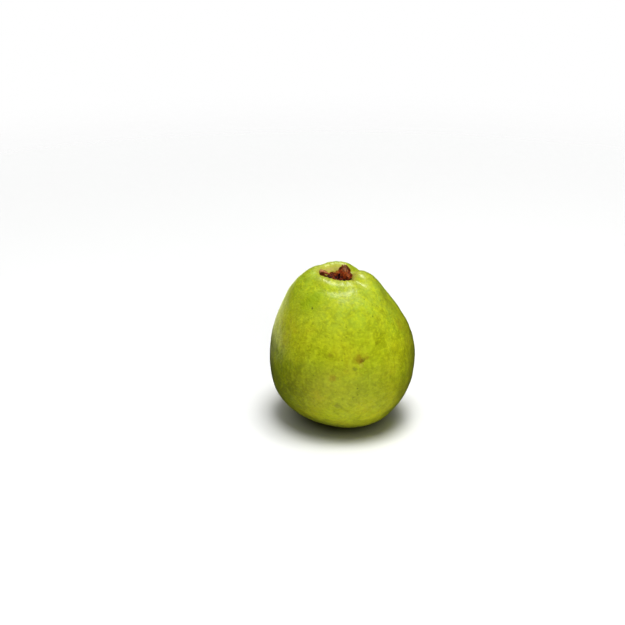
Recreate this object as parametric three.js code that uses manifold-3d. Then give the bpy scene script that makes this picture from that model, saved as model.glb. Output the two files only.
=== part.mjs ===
// A green guava as picked, standing on its stem end with its dried calyx on top.
// Millimetres, +Z up. The origin is on the table, under the middle of the fruit.
// Angles are in degrees. Polar is measured from the calyx and azimuth from +X towards +Y, and the
// fruit's face is at azimuth -90.

import * as THREE from "three";
import { mergeVertices } from "three/addons/utils/BufferGeometryUtils.js";
import Module from "manifold-3d";

const wasm = await Module();
wasm.setup();

// The fruit's outline, as a radius about its heart that changes with the polar angle.
const HEART_HEIGHT = 42.3; // of the centre above the table
const MEAN_RADIUS = 39.3;
const FOOT_REACH = 3.4; // added at the stem end and taken away at the calyx end
const STRETCH = 3.9; // added at both ends and taken away round the middle
const SHOULDER = 0.8; // fills the upper shoulder and the low belly, and narrows between them
const FULLNESS = 0.9; // squares the outline a little
const FRUIT_HEIGHT = 82;
const CROWN_LEAN = -6.4; // how far the calyx end stands off the stem end, along X

// Broad swellings and dents that make one side unlike another: where, how wide, and how far out.
const SWELLS = [
  { polar: 20, azimuth: -68, spread: 13, rise: -2.3 }, // low front lip of the crown
  { polar: 15, azimuth: 92, spread: 11, rise: 0.4 }, // high back lip
  { polar: 26, azimuth: -8, spread: 9, rise: 1.3 }, // right shoulder
  { polar: 38, azimuth: 178, spread: 17, rise: 1.2 }, // left shoulder
  { polar: 45, azimuth: -4, spread: 9, rise: -1.3 }, // dent under the right shoulder
  { polar: 37, azimuth: -124, spread: 10, rise: -0.9 }, // dimple on the face
  { polar: 131, azimuth: 186, spread: 18, rise: 4.4 }, // low left belly
  { polar: 92, azimuth: 62, spread: 22, rise: -1.1 }, // flat at the back
  { polar: 118, azimuth: 118, spread: 20, rise: 0.9 }, // back belly
  { polar: 163, azimuth: 22, spread: 12, rise: 0.8 }, // right side of the foot
  { polar: 74, azimuth: -52, spread: 20, rise: 0.7 }, // front cheek
];

// Faint sides, one under each sepal, strongest at the shoulder.
const SIDES = 5;
const SIDE_RISE = 0.55;
const SIDE_AZIMUTH = 20;

// The hollow that holds the calyx, and the creases that run out over its lip.
const CROWN = { radius: 8.1, depth: 8.2, steepness: 8, ovalness: 0.1, longAzimuth: -8 };
const CROWN_CREASES = [
  { azimuth: 34, width: 17, depth: 3.4 },
  { azimuth: 126, width: 14, depth: 0.5 },
  { azimuth: 202, width: 15, depth: 0.5 },
  { azimuth: -92, width: 18, depth: 0.3 },
  { azimuth: -35, width: 11, depth: 2.2 },
];
const CROWN_CREASE_REACH = { middle: 11.8, spread: 7.2 };

// The funnel that holds the stem, with its deeper folds.
const FUNNEL = { radius: 6.6, depth: 13.4, steepness: 3.2, ovalness: 0.12, longAzimuth: 30 };
const FUNNEL_CREASES = [
  { azimuth: 12, width: 15, depth: 1.3 },
  { azimuth: 78, width: 13, depth: 0.9 },
  { azimuth: 146, width: 16, depth: 1.4 },
  { azimuth: 214, width: 13, depth: 1.0 },
  { azimuth: -68, width: 15, depth: 1.2 },
];
const FUNNEL_CREASE_REACH = { middle: 8, spread: 5.5 };
const CREASE_START = 3; // from the axis, where the creases have reached their full depth

const FRUIT_SEGMENTS = 72;
const FRUIT_RINGS = 54;
const RING_CROWDING = 0.62; // 0 spaces the rings evenly, 1 crowds them all at the two ends

// The calyx: a dried disc on the hollow's floor, with the stub of the style in its middle.
const SEAT_GAP = 0.3; // left between the fruit and what it carries
const CALYX_HEIGHT = 76.5; // of the disc's face above the table
const CALYX_SHIFT = { x: 0.2, y: -0.6 }; // off the fruit's axis
const DISC_SEGMENTS = 40;
const DISC_PROFILE = [
  { radius: 0, height: -1.3 },
  { radius: 5.2, height: -1.3 },
  { radius: 6.6, height: -0.6 },
  { radius: 6.5, height: 0.2 },
  { radius: 5.5, height: 0.6 }, // raised rim, where the sepals root
  { radius: 4.4, height: 0.1 },
  { radius: 2.2, height: -0.2 },
  { radius: 0, height: 0 },
];
const STYLE = { radius: 0.7, tipRadius: 0.45, length: 3.2, rootDrop: 0.5, lean: 0.8 };
const STYLE_SEGMENTS = 8;
const STYLE_STEPS = 3;

// The sepals root on the disc's rim. Each stands along the hollow's wall at an angle to the table,
// folds inwards round an arc, and then lies over the disc. A higher taper keeps it wide for longer.
const SEPALS = [
  { azimuth: -16, width: 5.6, taper: 2.4, rise: 58, stand: 1.6, fold: 100, bend: 1.0, lie: 1.8, twist: 14 },
  { azimuth: 58, width: 8.2, taper: 1.4, rise: 66, stand: 3.8, fold: 40, bend: 1.4, lie: 1.4, twist: -14 },
  { azimuth: 124, width: 5.0, taper: 2.4, rise: 48, stand: 1.2, fold: 30, bend: 1.0, lie: 0.6, twist: 12 },
  { azimuth: 184, width: 5.2, taper: 2.4, rise: 46, stand: 5.2, fold: 160, bend: 0.7, lie: 5.0, twist: 8 },
  { azimuth: 246, width: 6.2, taper: 2.4, rise: 50, stand: 0.8, fold: 70, bend: 0.9, lie: 1.2, twist: 6 },
];
const SEPAL_ROOT = { radius: 5.3, drop: 0.5, thickness: 1.0 };
const SEPAL_TIP = { thickness: 0.7, halfWidth: 0.28 }; // the half width as a share of the root's
const SEPAL_CUP = 0.1; // how far its edges curl inwards, as a share of its half width
const SEPAL_RIPPLE = { height: 0.3, across: 5, along: 3 };
const SEPAL_STEPS = 14;
const SEPAL_STRIPS = 6;

// The stem: a dry ridged stub that ends inside the funnel, clear of the table.
const STEM = { radius: 1.6, footRadius: 2.4, length: 7.2, tipHeight: 1.9, bend: 1.1, bendAzimuth: 150 };
const STEM_FOOT_FLARE = 3; // a higher power keeps the spread close to the foot
const STEM_RIDGES = 7;
const STEM_RIDGE_RISE = 0.14;
const STEM_SEGMENTS = 28;
const STEM_STEPS = 8;

const FINISHES = {
  fruit: { color: 0xa9b62c, roughness: 0.38, metalness: 0 }, // waxy green skin
  calyx: { color: 0x70401c, roughness: 0.8, metalness: 0 }, // dry and brown
  stem: { color: 0x3a2c1e, roughness: 0.85, metalness: 0 }, // dark wood
};

const MERGE_DISTANCE = 1e-3; // under which two vertices are one

const { degToRad: radians, radToDeg: degrees, clamp, lerp, euclideanModulo } = THREE.MathUtils;

/** How far apart two azimuths are, from -180 to 180. */
function turnBetween(a, b) {
  return euclideanModulo(a - b + 180, 360) - 180;
}

/** The unit vector towards a polar angle and azimuth. */
function towards(polar, azimuth) {
  const flat = outwards(azimuth).multiplyScalar(Math.sin(radians(polar)));
  return flat.setZ(Math.cos(radians(polar)));
}

/** The level unit vector that points away from the axis at an azimuth. */
function outwards(azimuth) {
  return new THREE.Vector3(Math.cos(radians(azimuth)), Math.sin(radians(azimuth)), 0);
}

/** Where the fruit's axis stands along X at a height. */
function axisAt(height) {
  return CROWN_LEAN * (height / FRUIT_HEIGHT - 0.5);
}

/** What the broad swellings add to the radius in a direction. */
function swelling(direction) {
  return SWELLS.reduce((sum, { polar, azimuth, spread, rise }) => {
    const away = direction.angleTo(towards(polar, azimuth)) / radians(spread);
    return sum + rise * Math.exp((-away * away) / 2);
  }, 0);
}

/** How deep a hollow at one end is, at a distance from the axis. */
function hollow({ radius, depth, steepness, ovalness, longAzimuth }, distance, azimuth) {
  const edge = radius * (1 + ovalness * Math.cos(2 * radians(azimuth - longAzimuth)));
  return depth / (1 + (distance / edge) ** steepness);
}

/** How deep the creases round a hollow are, at a distance from the axis. */
function creasing(creases, { middle, spread }, distance, azimuth) {
  const reach = Math.exp(-(((distance - middle) / spread) ** 2)) * Math.min(1, distance / CREASE_START);
  return creases.reduce((sum, crease) => {
    const away = turnBetween(azimuth, crease.azimuth) / crease.width;
    return sum + crease.depth * reach * Math.exp(-away * away);
  }, 0);
}

/** The fruit's radius about its heart before its two hollows are sunk. */
function plumpRadius(direction, azimuth) {
  const polar = Math.acos(clamp(direction.z, -1, 1));
  const outline =
    MEAN_RADIUS -
    FOOT_REACH * Math.cos(polar) +
    STRETCH * Math.cos(2 * polar) +
    SHOULDER * Math.cos(3 * polar) +
    FULLNESS * Math.cos(4 * polar);
  const nearShoulder = (Math.sin(polar) * Math.cos(polar / 2)) ** 2;
  const sides = SIDE_RISE * nearShoulder * Math.cos(SIDES * radians(azimuth - SIDE_AZIMUTH));
  return outline + sides + swelling(direction);
}

/** The fruit's radius about its heart. */
function fruitRadius(direction) {
  const azimuth = degrees(Math.atan2(direction.y, direction.x));
  const plump = plumpRadius(direction, azimuth);
  const distance = plump * Math.hypot(direction.x, direction.y);
  const [end, creases, reach] =
    direction.z > 0
      ? [CROWN, CROWN_CREASES, CROWN_CREASE_REACH]
      : [FUNNEL, FUNNEL_CREASES, FUNNEL_CREASE_REACH];
  return plump - hollow(end, distance, azimuth) - creasing(creases, reach, distance, azimuth);
}

/** A sphere's direction with its ring moved towards the nearer end, where the fine shape is. */
function crowded(direction) {
  const even = Math.acos(clamp(direction.z, -1, 1));
  const polar = even - (RING_CROWDING * Math.sin(2 * even)) / 2;
  return towards(degrees(polar), degrees(Math.atan2(direction.y, direction.x)));
}

/** The fruit's closed skin, grown outwards by a margin. It is flat where it rests on the table. */
function fruitGeometry(margin = 0) {
  const skin = new THREE.SphereGeometry(1, FRUIT_SEGMENTS, FRUIT_RINGS).rotateX(Math.PI / 2);
  const at = skin.getAttribute("position");
  for (let i = 0; i < at.count; i++) {
    const direction = crowded(new THREE.Vector3().fromBufferAttribute(at, i));
    const { x, y, z } = direction.multiplyScalar(fruitRadius(direction) + margin);
    const height = HEART_HEIGHT + z;
    at.setXYZ(i, x + axisAt(height), y, Math.max(height, -margin));
  }
  return closed(skin);
}

/** A geometry with its shared vertices merged, so that only positions are left. */
function closed(geometry) {
  geometry.deleteAttribute("normal");
  geometry.deleteAttribute("uv");
  return mergeVertices(geometry, MERGE_DISTANCE);
}

/** A closed geometry as a solid that can be cut and joined. */
function solid(geometry) {
  return new wasm.Manifold(
    new wasm.Mesh({
      numProp: 3,
      vertProperties: new Float32Array(geometry.getAttribute("position").array),
      triVerts: new Uint32Array(geometry.index.array),
    }),
  );
}

/** The largest of a solid's separate bodies, as a geometry again. */
function geometryOf(made) {
  const bodies = made.decompose();
  const mesh = bodies.reduce((best, body) => (body.volume() > best.volume() ? body : best)).getMesh();
  return new THREE.BufferGeometry()
    .setAttribute("position", new THREE.BufferAttribute(mesh.vertProperties, 3))
    .setIndex(new THREE.BufferAttribute(mesh.triVerts, 1));
}

/** What is left of a solid outside the fruit, with a gap where they touch. */
function clearOfFruit(made) {
  return geometryOf(made.subtract(solid(fruitGeometry(SEAT_GAP))));
}

/** The middle of the calyx, on the disc's face. */
function calyxMiddle() {
  return new THREE.Vector3(axisAt(CALYX_HEIGHT) + CALYX_SHIFT.x, CALYX_SHIFT.y, CALYX_HEIGHT);
}

/** A sepal's way outwards and upwards, and its slope: `along` runs from 0 at its root to 1 at its tip. */
function sepalSpine({ rise, stand, fold, bend, lie }, along) {
  const start = radians(rise);
  const arc = bend * radians(fold);
  const gone = along * (stand + arc + lie);
  const stood = Math.min(gone, stand);
  const slope = start + clamp(gone - stand, 0, arc) / bend;
  const lain = Math.max(gone - stand - arc, 0);
  return {
    out: stood * Math.cos(start) + bend * (Math.sin(slope) - Math.sin(start)) + lain * Math.cos(slope),
    up: stood * Math.sin(start) + bend * (Math.cos(start) - Math.cos(slope)) + lain * Math.sin(slope),
    slope,
  };
}

/** One sepal: a thin cupped and rippled blade that roots in the disc's rim and curls. */
function sepalGeometry(sepal) {
  const { azimuth, width, taper, twist } = sepal;
  const blade = new THREE.BoxGeometry(2, 1, 1, SEPAL_STRIPS, SEPAL_STEPS, 1).translate(0, 0.5, 0);
  const at = blade.getAttribute("position");
  const outward = outwards(azimuth);
  const sideways = outwards(azimuth - 90);
  const root = calyxMiddle().addScaledVector(outward, SEPAL_ROOT.radius);
  for (let i = 0; i < at.count; i++) {
    const across = at.getX(i);
    const along = at.getY(i);
    const { out, up, slope } = sepalSpine(sepal, along);
    const half = (width / 2) * Math.sqrt(1 - (1 - SEPAL_TIP.halfWidth ** 2) * along ** taper);
    const wave = SEPAL_RIPPLE.across * across + SEPAL_RIPPLE.along * along + radians(azimuth);
    const inner =
      at.getZ(i) * lerp(SEPAL_ROOT.thickness, SEPAL_TIP.thickness, along) +
      SEPAL_CUP * half * across * across +
      SEPAL_RIPPLE.height * along * Math.sin(wave) +
      across * half * Math.sin(radians(twist * along));
    const point = root
      .clone()
      .addScaledVector(outward, out - inner * Math.sin(slope))
      .addScaledVector(sideways, across * half * Math.cos(radians(twist * along)));
    at.setXYZ(i, point.x, point.y, point.z - SEPAL_ROOT.drop + up + inner * Math.cos(slope));
  }
  return closed(blade);
}

/** The dried disc that the sepals stand on, with its raised rim. */
function discGeometry() {
  const profile = DISC_PROFILE.map(({ radius, height }) => new THREE.Vector2(radius, height));
  const disc = new THREE.LatheGeometry(profile, DISC_SEGMENTS).rotateX(Math.PI / 2);
  return closed(disc.translate(...calyxMiddle()));
}

/** The stub of the style, leaning out of the disc's middle. */
function styleGeometry() {
  const { radius, tipRadius, length, rootDrop, lean } = STYLE;
  const stub = new THREE.CylinderGeometry(tipRadius, radius, length, STYLE_SEGMENTS, STYLE_STEPS)
    .rotateX(Math.PI / 2)
    .translate(0, 0, length / 2);
  const at = stub.getAttribute("position");
  for (let i = 0; i < at.count; i++) {
    at.setX(i, at.getX(i) + lean * (at.getZ(i) / length) ** 2);
  }
  return closed(stub.translate(...calyxMiddle()).translate(0, 0, -rootDrop));
}

/** The whole calyx, cut to lie on the floor and walls of the fruit's hollow. */
function calyxGeometry() {
  const pieces = [discGeometry(), styleGeometry(), ...SEPALS.map(sepalGeometry)].map(solid);
  return clearOfFruit(pieces.reduce((joined, piece) => joined.add(piece)));
}

/** The stem's stub, ridged and a little bent, with a foot that spreads on the funnel's floor. */
function stemGeometry() {
  const { radius, footRadius, length, tipHeight, bend, bendAzimuth } = STEM;
  const stub = new THREE.CylinderGeometry(1, 1, 1, STEM_SEGMENTS, STEM_STEPS)
    .rotateX(Math.PI / 2)
    .translate(0, 0, 0.5);
  const at = stub.getAttribute("position");
  for (let i = 0; i < at.count; i++) {
    const up = at.getZ(i); // from 0 at the tip to 1 at the foot
    const turn = Math.atan2(at.getY(i), at.getX(i));
    const height = tipHeight + length * up;
    const ridge = STEM_RIDGE_RISE * Math.cos(STEM_RIDGES * turn);
    const spread = lerp(radius, footRadius, up ** STEM_FOOT_FLARE) + ridge;
    const thick = Math.hypot(at.getX(i), at.getY(i)) * spread;
    const bent = outwards(bendAzimuth).multiplyScalar(bend * (1 - up) ** 2);
    at.setXYZ(
      i,
      axisAt(height) + bent.x + thick * Math.cos(turn),
      bent.y + thick * Math.sin(turn),
      height,
    );
  }
  return clearOfFruit(solid(closed(stub)));
}

/** One sub-part: a named mesh with the finish of its name. */
function subPart(name, geometry) {
  const mesh = new THREE.Mesh(geometry, new THREE.MeshStandardMaterial(FINISHES[name]));
  mesh.name = name;
  geometry.computeVertexNormals();
  return mesh;
}

const skin = fruitGeometry();
const guava = new THREE.Group();
guava.add(subPart("fruit", skin), subPart("calyx", calyxGeometry()), subPart("stem", stemGeometry()));

skin.computeBoundingBox();
const middle = skin.boundingBox.getCenter(new THREE.Vector3());
guava.position.set(-middle.x, -middle.y, 0);

export default guava;
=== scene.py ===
"""A green guava as picked, standing on its stem end with its dried calyx on top.

Metres, +Z up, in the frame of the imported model: the fruit stands on the table at the origin.
Angles are in degrees unless a name says otherwise. Polar is measured from the calyx end and
azimuth from +X towards +Y, so the fruit's face is at azimuth -90.
"""

import logging
import math
from collections.abc import Callable, Sequence
from dataclasses import dataclass, field
from enum import Enum
from functools import partial

import bmesh
import bpy
import numpy as np
from mathutils import Matrix, Vector, noise


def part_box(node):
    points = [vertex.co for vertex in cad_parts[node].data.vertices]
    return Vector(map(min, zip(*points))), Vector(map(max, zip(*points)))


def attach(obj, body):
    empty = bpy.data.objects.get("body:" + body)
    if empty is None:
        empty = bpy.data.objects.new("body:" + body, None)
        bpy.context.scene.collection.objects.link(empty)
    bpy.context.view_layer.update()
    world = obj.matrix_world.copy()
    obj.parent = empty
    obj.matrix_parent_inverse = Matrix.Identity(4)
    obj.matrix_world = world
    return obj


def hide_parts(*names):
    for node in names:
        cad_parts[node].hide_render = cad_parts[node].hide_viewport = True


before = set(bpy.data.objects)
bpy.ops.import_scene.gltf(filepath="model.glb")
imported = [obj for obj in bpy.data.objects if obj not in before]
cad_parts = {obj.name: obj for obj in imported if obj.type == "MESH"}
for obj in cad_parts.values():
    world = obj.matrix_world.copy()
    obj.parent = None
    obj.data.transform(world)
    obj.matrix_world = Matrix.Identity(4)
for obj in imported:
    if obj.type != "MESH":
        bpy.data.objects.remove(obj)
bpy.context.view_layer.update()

LOG = logging.getLogger("guava")
MM = 0.001
MERGE = 0.001 * MM

# What the meshes carry at each point, for their materials.
CROWN_DEPTH = "crown_depth"
FUNNEL_DEPTH = "funnel_depth"
BLADE = "blade"

Rgb = tuple[float, float, float]
Point = tuple[float, float, float]
Band = tuple[float, float]  # A soft step is 0 at its first value and 1 at its second.


# ---- Node trees ----


class Field:
    """A value that changes over a surface: one node's output, which sums can be done on."""

    def __init__(self, graph: "Graph", socket: bpy.types.NodeSocket) -> None:
        """Holds a socket that gives the value, in a tree."""
        self.graph = graph
        self.socket = socket

    def __add__(self, other: "Value") -> "Field":
        """The sum."""
        return self.graph.math("ADD", self, other)

    def __sub__(self, other: "Value") -> "Field":
        """The difference."""
        return self.graph.math("SUBTRACT", self, other)

    def __rsub__(self, other: "Value") -> "Field":
        """The difference from a plain number."""
        return self.graph.math("SUBTRACT", other, self)

    def __mul__(self, other: "Value") -> "Field":
        """The product."""
        return self.graph.math("MULTIPLY", self, other)

    def __truediv__(self, other: "Value") -> "Field":
        """The quotient."""
        return self.graph.math("DIVIDE", self, other)

    def __rtruediv__(self, other: "Value") -> "Field":
        """The quotient of a plain number."""
        return self.graph.math("DIVIDE", other, self)

    def __pow__(self, other: "Value") -> "Field":
        """The power."""
        return self.graph.math("POWER", self, other)

    __radd__ = __add__


Value = Field | float | int | Sequence[float]


class Graph:
    """A node tree, with short calls that add nodes and join them.

    Attributes:
        COLOUR_MIX: The sockets of a Mix node that take its share and its two colours.
        COLOUR_MIXED: The socket that gives the colour.
    """

    COLOUR_MIX = (0, 6, 7)
    COLOUR_MIXED = 2

    def __init__(self, tree: bpy.types.NodeTree) -> None:
        """Holds the tree that nodes are added to."""
        self.tree = tree

    def node(
        self, kind: str, inputs: dict[str | int, Value] | None = None, **settings: object
    ) -> bpy.types.Node:
        """Adds a node.

        Args:
            kind: The node's type.
            inputs: What goes into its sockets, by name or number.
            **settings: The node's own properties.

        Returns:
            The node.
        """
        made = self.tree.nodes.new(kind)
        for name, value in settings.items():
            setattr(made, name, value)
        for key, value in (inputs or {}).items():
            self.feed(made.inputs[key], value)
        return made

    def feed(self, socket: bpy.types.NodeSocket, value: Value) -> None:
        """Joins an output to an input, or sets the input's own value.

        Args:
            socket: The input.
            value: The output, or the plain value.
        """
        if isinstance(value, Field):
            self.tree.links.new(value.socket, socket)
        else:
            socket.default_value = value

    def out(self, node: bpy.types.Node, name: str | int = 0) -> Field:
        """A node's output, by name or number."""
        return Field(self, node.outputs[name])

    def math(self, operation: str, *values: Value) -> Field:
        """One sum on numbers, by Blender's name for it and in its order."""
        inputs = dict(enumerate(values))
        return self.out(self.node("ShaderNodeMath", inputs, operation=operation))

    def vector(self, operation: str, *values: Value, output: str = "Vector") -> Field:
        """One sum on vectors, in the same way. Its output is Value where it gives a number."""
        inputs = dict(enumerate(values))
        return self.out(self.node("ShaderNodeVectorMath", inputs, operation=operation), output)

    def scaled(self, vector: Value, scale: Value) -> Field:
        """A vector times a number."""
        made = self.node("ShaderNodeVectorMath", {0: vector, "Scale": scale}, operation="SCALE")
        return self.out(made)

    def parts(self, vector: Value) -> tuple[Field, Field, Field]:
        """A vector's X, Y and Z."""
        made = self.node("ShaderNodeSeparateXYZ", {0: vector})
        return self.out(made, 0), self.out(made, 1), self.out(made, 2)

    def joined(self, x: Value, y: Value, z: Value) -> Field:
        """A vector from its X, Y and Z."""
        return self.out(self.node("ShaderNodeCombineXYZ", {0: x, 1: y, 2: z}))

    def smooth(self, value: Value, low: Value, high: Value) -> Field:
        """A soft step.

        Args:
            value: What is measured.
            low: Where the step starts, at 0.
            high: Where it ends, at 1. It may be below low.

        Returns:
            The step, from 0 to 1.
        """
        inputs = {"Value": value, "From Min": low, "From Max": high}
        return self.out(self.node("ShaderNodeMapRange", inputs, interpolation_type="SMOOTHSTEP"))

    def bell(self, square: Field) -> Field:
        """A bell: 1 where the square is 0, falling away as it grows."""
        return self.math("EXPONENT", square * -1.0)

    def turned(self, azimuth: Field, middle: Field) -> Field:
        """How far an azimuth is from another, either way round, in radians."""
        return self.math("WRAP", azimuth - middle, math.pi, -math.pi)

    def noise(
        self, place: Value, size: Value, seed: Value, detail: float = 2.0, rough: float = 0.5
    ) -> Field:
        """Soft noise from 0 to 1.

        Args:
            place: Where it is read, in metres.
            size: How large its lumps are, in metres.
            seed: Which of many patterns it is.
            detail: How many finer layers it has.
            rough: How strong the finer layers are.

        Returns:
            The noise.
        """
        inputs = {"Vector": place, "W": seed, "Scale": 1.0 / size}
        inputs |= {"Detail": detail, "Roughness": rough}
        return self.out(self.node("ShaderNodeTexNoise", inputs, noise_dimensions="4D"), 0)

    def mix(self, share: Value, first: Value, second: Value) -> Field:
        """A blend of two colours.

        Args:
            share: How much of the second there is, from 0 to 1.
            first: The colour at 0.
            second: The colour at 1.

        Returns:
            The blend.
        """
        made = self.node("ShaderNodeMix", data_type="RGBA", clamp_factor=True)
        for socket, value in zip(self.COLOUR_MIX, (share, first, second)):
            self.feed(made.inputs[socket], (*value, 1.0) if isinstance(value, tuple) else value)
        return self.out(made, self.COLOUR_MIXED)

    def blend(self, share: Value, first: Value, second: Value) -> Field:
        """A blend of two numbers, as mix is of two colours."""
        made = self.node("ShaderNodeMix", {0: share, 2: first, 3: second}, clamp_factor=True)
        return self.out(made, 0)


class Group(Graph):
    """A node group with named inputs and one output, made once and used in many places."""

    kind = "ShaderNodeTree"
    user = "ShaderNodeGroup"

    def __init__(self, name: str, output: str, inputs: dict[str, Value]) -> None:
        """Makes the group's sockets.

        Args:
            name: What the group is called.
            output: What its output is called, which is a number.
            inputs: Its inputs with their first values, in order.
        """
        super().__init__(bpy.data.node_groups.new(name, self.kind))
        face = self.tree.interface
        for socket, value in inputs.items():
            kind = "NodeSocketVector" if isinstance(value, tuple) else "NodeSocketFloat"
            face.new_socket(socket, in_out="INPUT", socket_type=kind).default_value = value
        face.new_socket(output, in_out="OUTPUT", socket_type="NodeSocketFloat")
        self.source = self.tree.nodes.new("NodeGroupInput")
        self.target = self.tree.nodes.new("NodeGroupOutput")

    def input(self, name: str) -> Field:
        """What comes in by a name."""
        return self.out(self.source, name)

    def give(self, value: Field) -> None:
        """Sends a value out."""
        self.feed(self.target.inputs[0], value)

    def place(self, graph: Graph, **inputs: Value) -> Field:
        """Uses the group in a tree.

        Args:
            graph: The tree.
            **inputs: What goes in, by name, with _ for each space.

        Returns:
            The group's output there.
        """
        made = graph.node(self.user)
        made.node_tree = self.tree
        for name, value in inputs.items():
            graph.feed(made.inputs[name.replace("_", " ")], value)
        return graph.out(made)


class ShapeGroup(Group):
    """A node group for geometry."""

    kind = "GeometryNodeTree"
    user = "GeometryNodeGroup"


class ShapeTree(Graph):
    """A geometry tree that makes one piece from named sizes."""

    SOCKETS = {
        float: "NodeSocketFloat",
        int: "NodeSocketInt",
        tuple: "NodeSocketVector",
        bpy.types.Material: "NodeSocketMaterial",
    }

    def __init__(self, name: str) -> None:
        """Starts a tree.

        Args:
            name: What the tree is called.
        """
        super().__init__(bpy.data.node_groups.new(name, "GeometryNodeTree"))
        self.tree.is_modifier = True
        self.tree.interface.new_socket(
            "Geometry", in_out="OUTPUT", socket_type="NodeSocketGeometry"
        )
        self.values: dict[str, object] = {}
        self.sockets: dict[str, Field] = {}

    def size(self, name: str, value: float | int | tuple | bpy.types.Material) -> Field:
        """A named input, with the value that this piece gives it.

        Args:
            name: The input's name.
            value: Its value.

        Returns:
            The input, for use in the tree.
        """
        if name not in self.sockets:
            kind = self.SOCKETS[type(value)]
            socket = self.tree.interface.new_socket(name, in_out="INPUT", socket_type=kind)
            self.values[socket.identifier] = value
            self.sockets[name] = self.out(self.tree.nodes.new("NodeGroupInput"), name)
        return self.sockets[name]

    def shape(self, kind: str, inputs: dict[str | int, Value], **settings: object) -> Field:
        """Adds a node that makes or changes geometry, and gives its geometry."""
        return self.out(self.node(kind, inputs, **settings))

    def together(self, parts: Sequence[Field]) -> Field:
        """Joins several geometries into one.

        Args:
            parts: The geometries, in order.

        Returns:
            All of them.
        """
        joint = self.node("GeometryNodeJoinGeometry")
        for part in parts:
            self.tree.links.new(part.socket, joint.inputs[0])
        return self.out(joint)

    def grown(self, name: str, geometry: Field, finish: bpy.types.Material) -> bpy.types.Object:
        """Ends the tree, runs it once, and keeps the plain mesh that it makes.

        Args:
            name: The piece's name.
            geometry: What the tree has made so far.
            finish: The piece's material.

        Returns:
            The piece, with no modifier left.
        """
        smooth = self.shape("GeometryNodeSetShadeSmooth", {"Geometry": geometry})
        real = self.shape("GeometryNodeRealizeInstances", {0: smooth})
        inputs = {"Geometry": real, "Material": self.size("Finish", finish)}
        dressed = self.shape("GeometryNodeSetMaterial", inputs)
        self.feed(self.tree.nodes.new("NodeGroupOutput").inputs[0], dressed)
        piece = bpy.data.objects.new(name, bpy.data.meshes.new(name))
        bpy.context.scene.collection.objects.link(piece)
        modifier = piece.modifiers.new(name, "NODES")
        modifier.node_group = self.tree
        for identifier, value in self.values.items():
            modifier[identifier] = value
        graph = bpy.context.evaluated_depsgraph_get()
        plain = bpy.data.meshes.new_from_object(
            piece.evaluated_get(graph), preserve_all_data_layers=True, depsgraph=graph
        )
        piece.modifiers.remove(modifier)
        piece.data = plain
        plain.materials.clear()
        plain.materials.append(finish)
        plain.polygons.foreach_set("material_index", [0] * len(plain.polygons))
        return piece


# ---- Finishes ----


def colour(code: str) -> Rgb:
    """A colour as Blender wants it.

    Args:
        code: Six hex digits, as on a colour chart.

    Returns:
        The same colour in linear light.
    """
    shares = [int(code[i : i + 2], 16) / 255 for i in (0, 2, 4)]
    return tuple(s / 12.92 if s <= 0.04045 else ((s + 0.055) / 1.055) ** 2.4 for s in shares)


class Effects:
    """The effects that the finishes share, each a shader group made once.

    Attributes:
        ORIGIN: Where a group's places are until it is used.
        SPECK_SIZES: The smallest speck and the largest, as shares of the size asked for.
        SPECK_WAVE: How large the waves of a speck's edge are, as a share of that size.
        MARK_WAVE: The same for a mark.
        FULL: The share of a mark's radius within which it is full, so that its edge is soft.
    """

    ORIGIN = (0.0, 0.0, 0.0)
    SPECK_SIZES = (0.4, 1.2)
    SPECK_WAVE = 1.5
    MARK_WAVE = 0.6
    FULL = 0.35

    def __init__(self) -> None:
        """Makes the groups."""
        self.mottling = self._mottling()
        self.specks = self._specks()
        self.blemish = self._blemish()

    def _mottling(self) -> Group:
        """Soft patches: Low and High are the noise at which they start and are full.

        Returns:
            The group.
        """
        inputs = {"Place": self.ORIGIN, "Size": 10 * MM, "Seed": 0.0, "Low": 0.4, "High": 0.6}
        group = Group("Mottling", "Mask", inputs)
        place, size, seed = group.input("Place"), group.input("Size"), group.input("Seed")
        grain = group.noise(place, size, seed, detail=3.0)
        group.give(group.smooth(grain, group.input("Low"), group.input("High")))
        return group

    def _specks(self) -> Group:
        """Round specks of many sizes, one at most in each cell of a loose net.

        Returns:
            The group. Share is how many cells have a speck, and Ragged how far its edge strays.
        """
        inputs = {"Place": self.ORIGIN, "Spacing": 5 * MM, "Size": 0.5 * MM, "Seed": 0.0}
        group = Group("Specks", "Mask", {**inputs, "Share": 0.5, "Ragged": 0.3 * MM})
        place, size, spacing = group.input("Place"), group.input("Size"), group.input("Spacing")
        wave = size * self.SPECK_WAVE
        shake = group.noise(place, wave, group.input("Seed"), detail=1.0) - 0.5
        cells = group.node(
            "ShaderNodeTexVoronoi",
            {"Vector": place, "W": group.input("Seed"), "Scale": 1.0 / spacing},
            voronoi_dimensions="4D",
        )
        chance, scale, _ = group.parts(group.out(cells, "Color"))
        away = group.out(cells, "Distance") * spacing
        smallest, largest = self.SPECK_SIZES
        edge = size * (scale * (largest - smallest) + smallest)
        mask = group.smooth(away + shake * group.input("Ragged"), edge, edge * self.FULL)
        group.give(mask * group.math("LESS_THAN", chance, group.input("Share")))
        return group

    def _blemish(self) -> Group:
        """One ragged mark at a place.

        Returns:
            The group. Ragged is how far the mark's edge strays, as a share of its size.
        """
        inputs = {"Place": self.ORIGIN, "At": self.ORIGIN, "Size": 2 * MM}
        group = Group("Blemish", "Mask", {**inputs, "Ragged": 0.5, "Seed": 0.0})
        place, size = group.input("Place"), group.input("Size")
        away = group.vector("DISTANCE", place, group.input("At"), output="Value") / size
        wave = size * self.MARK_WAVE
        grain = group.noise(place, wave, group.input("Seed"), detail=3.0, rough=0.6)
        shake = (grain - 0.5) * 2.0
        group.give(group.smooth(away + shake * group.input("Ragged"), 1.0, self.FULL))
        return group


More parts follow.
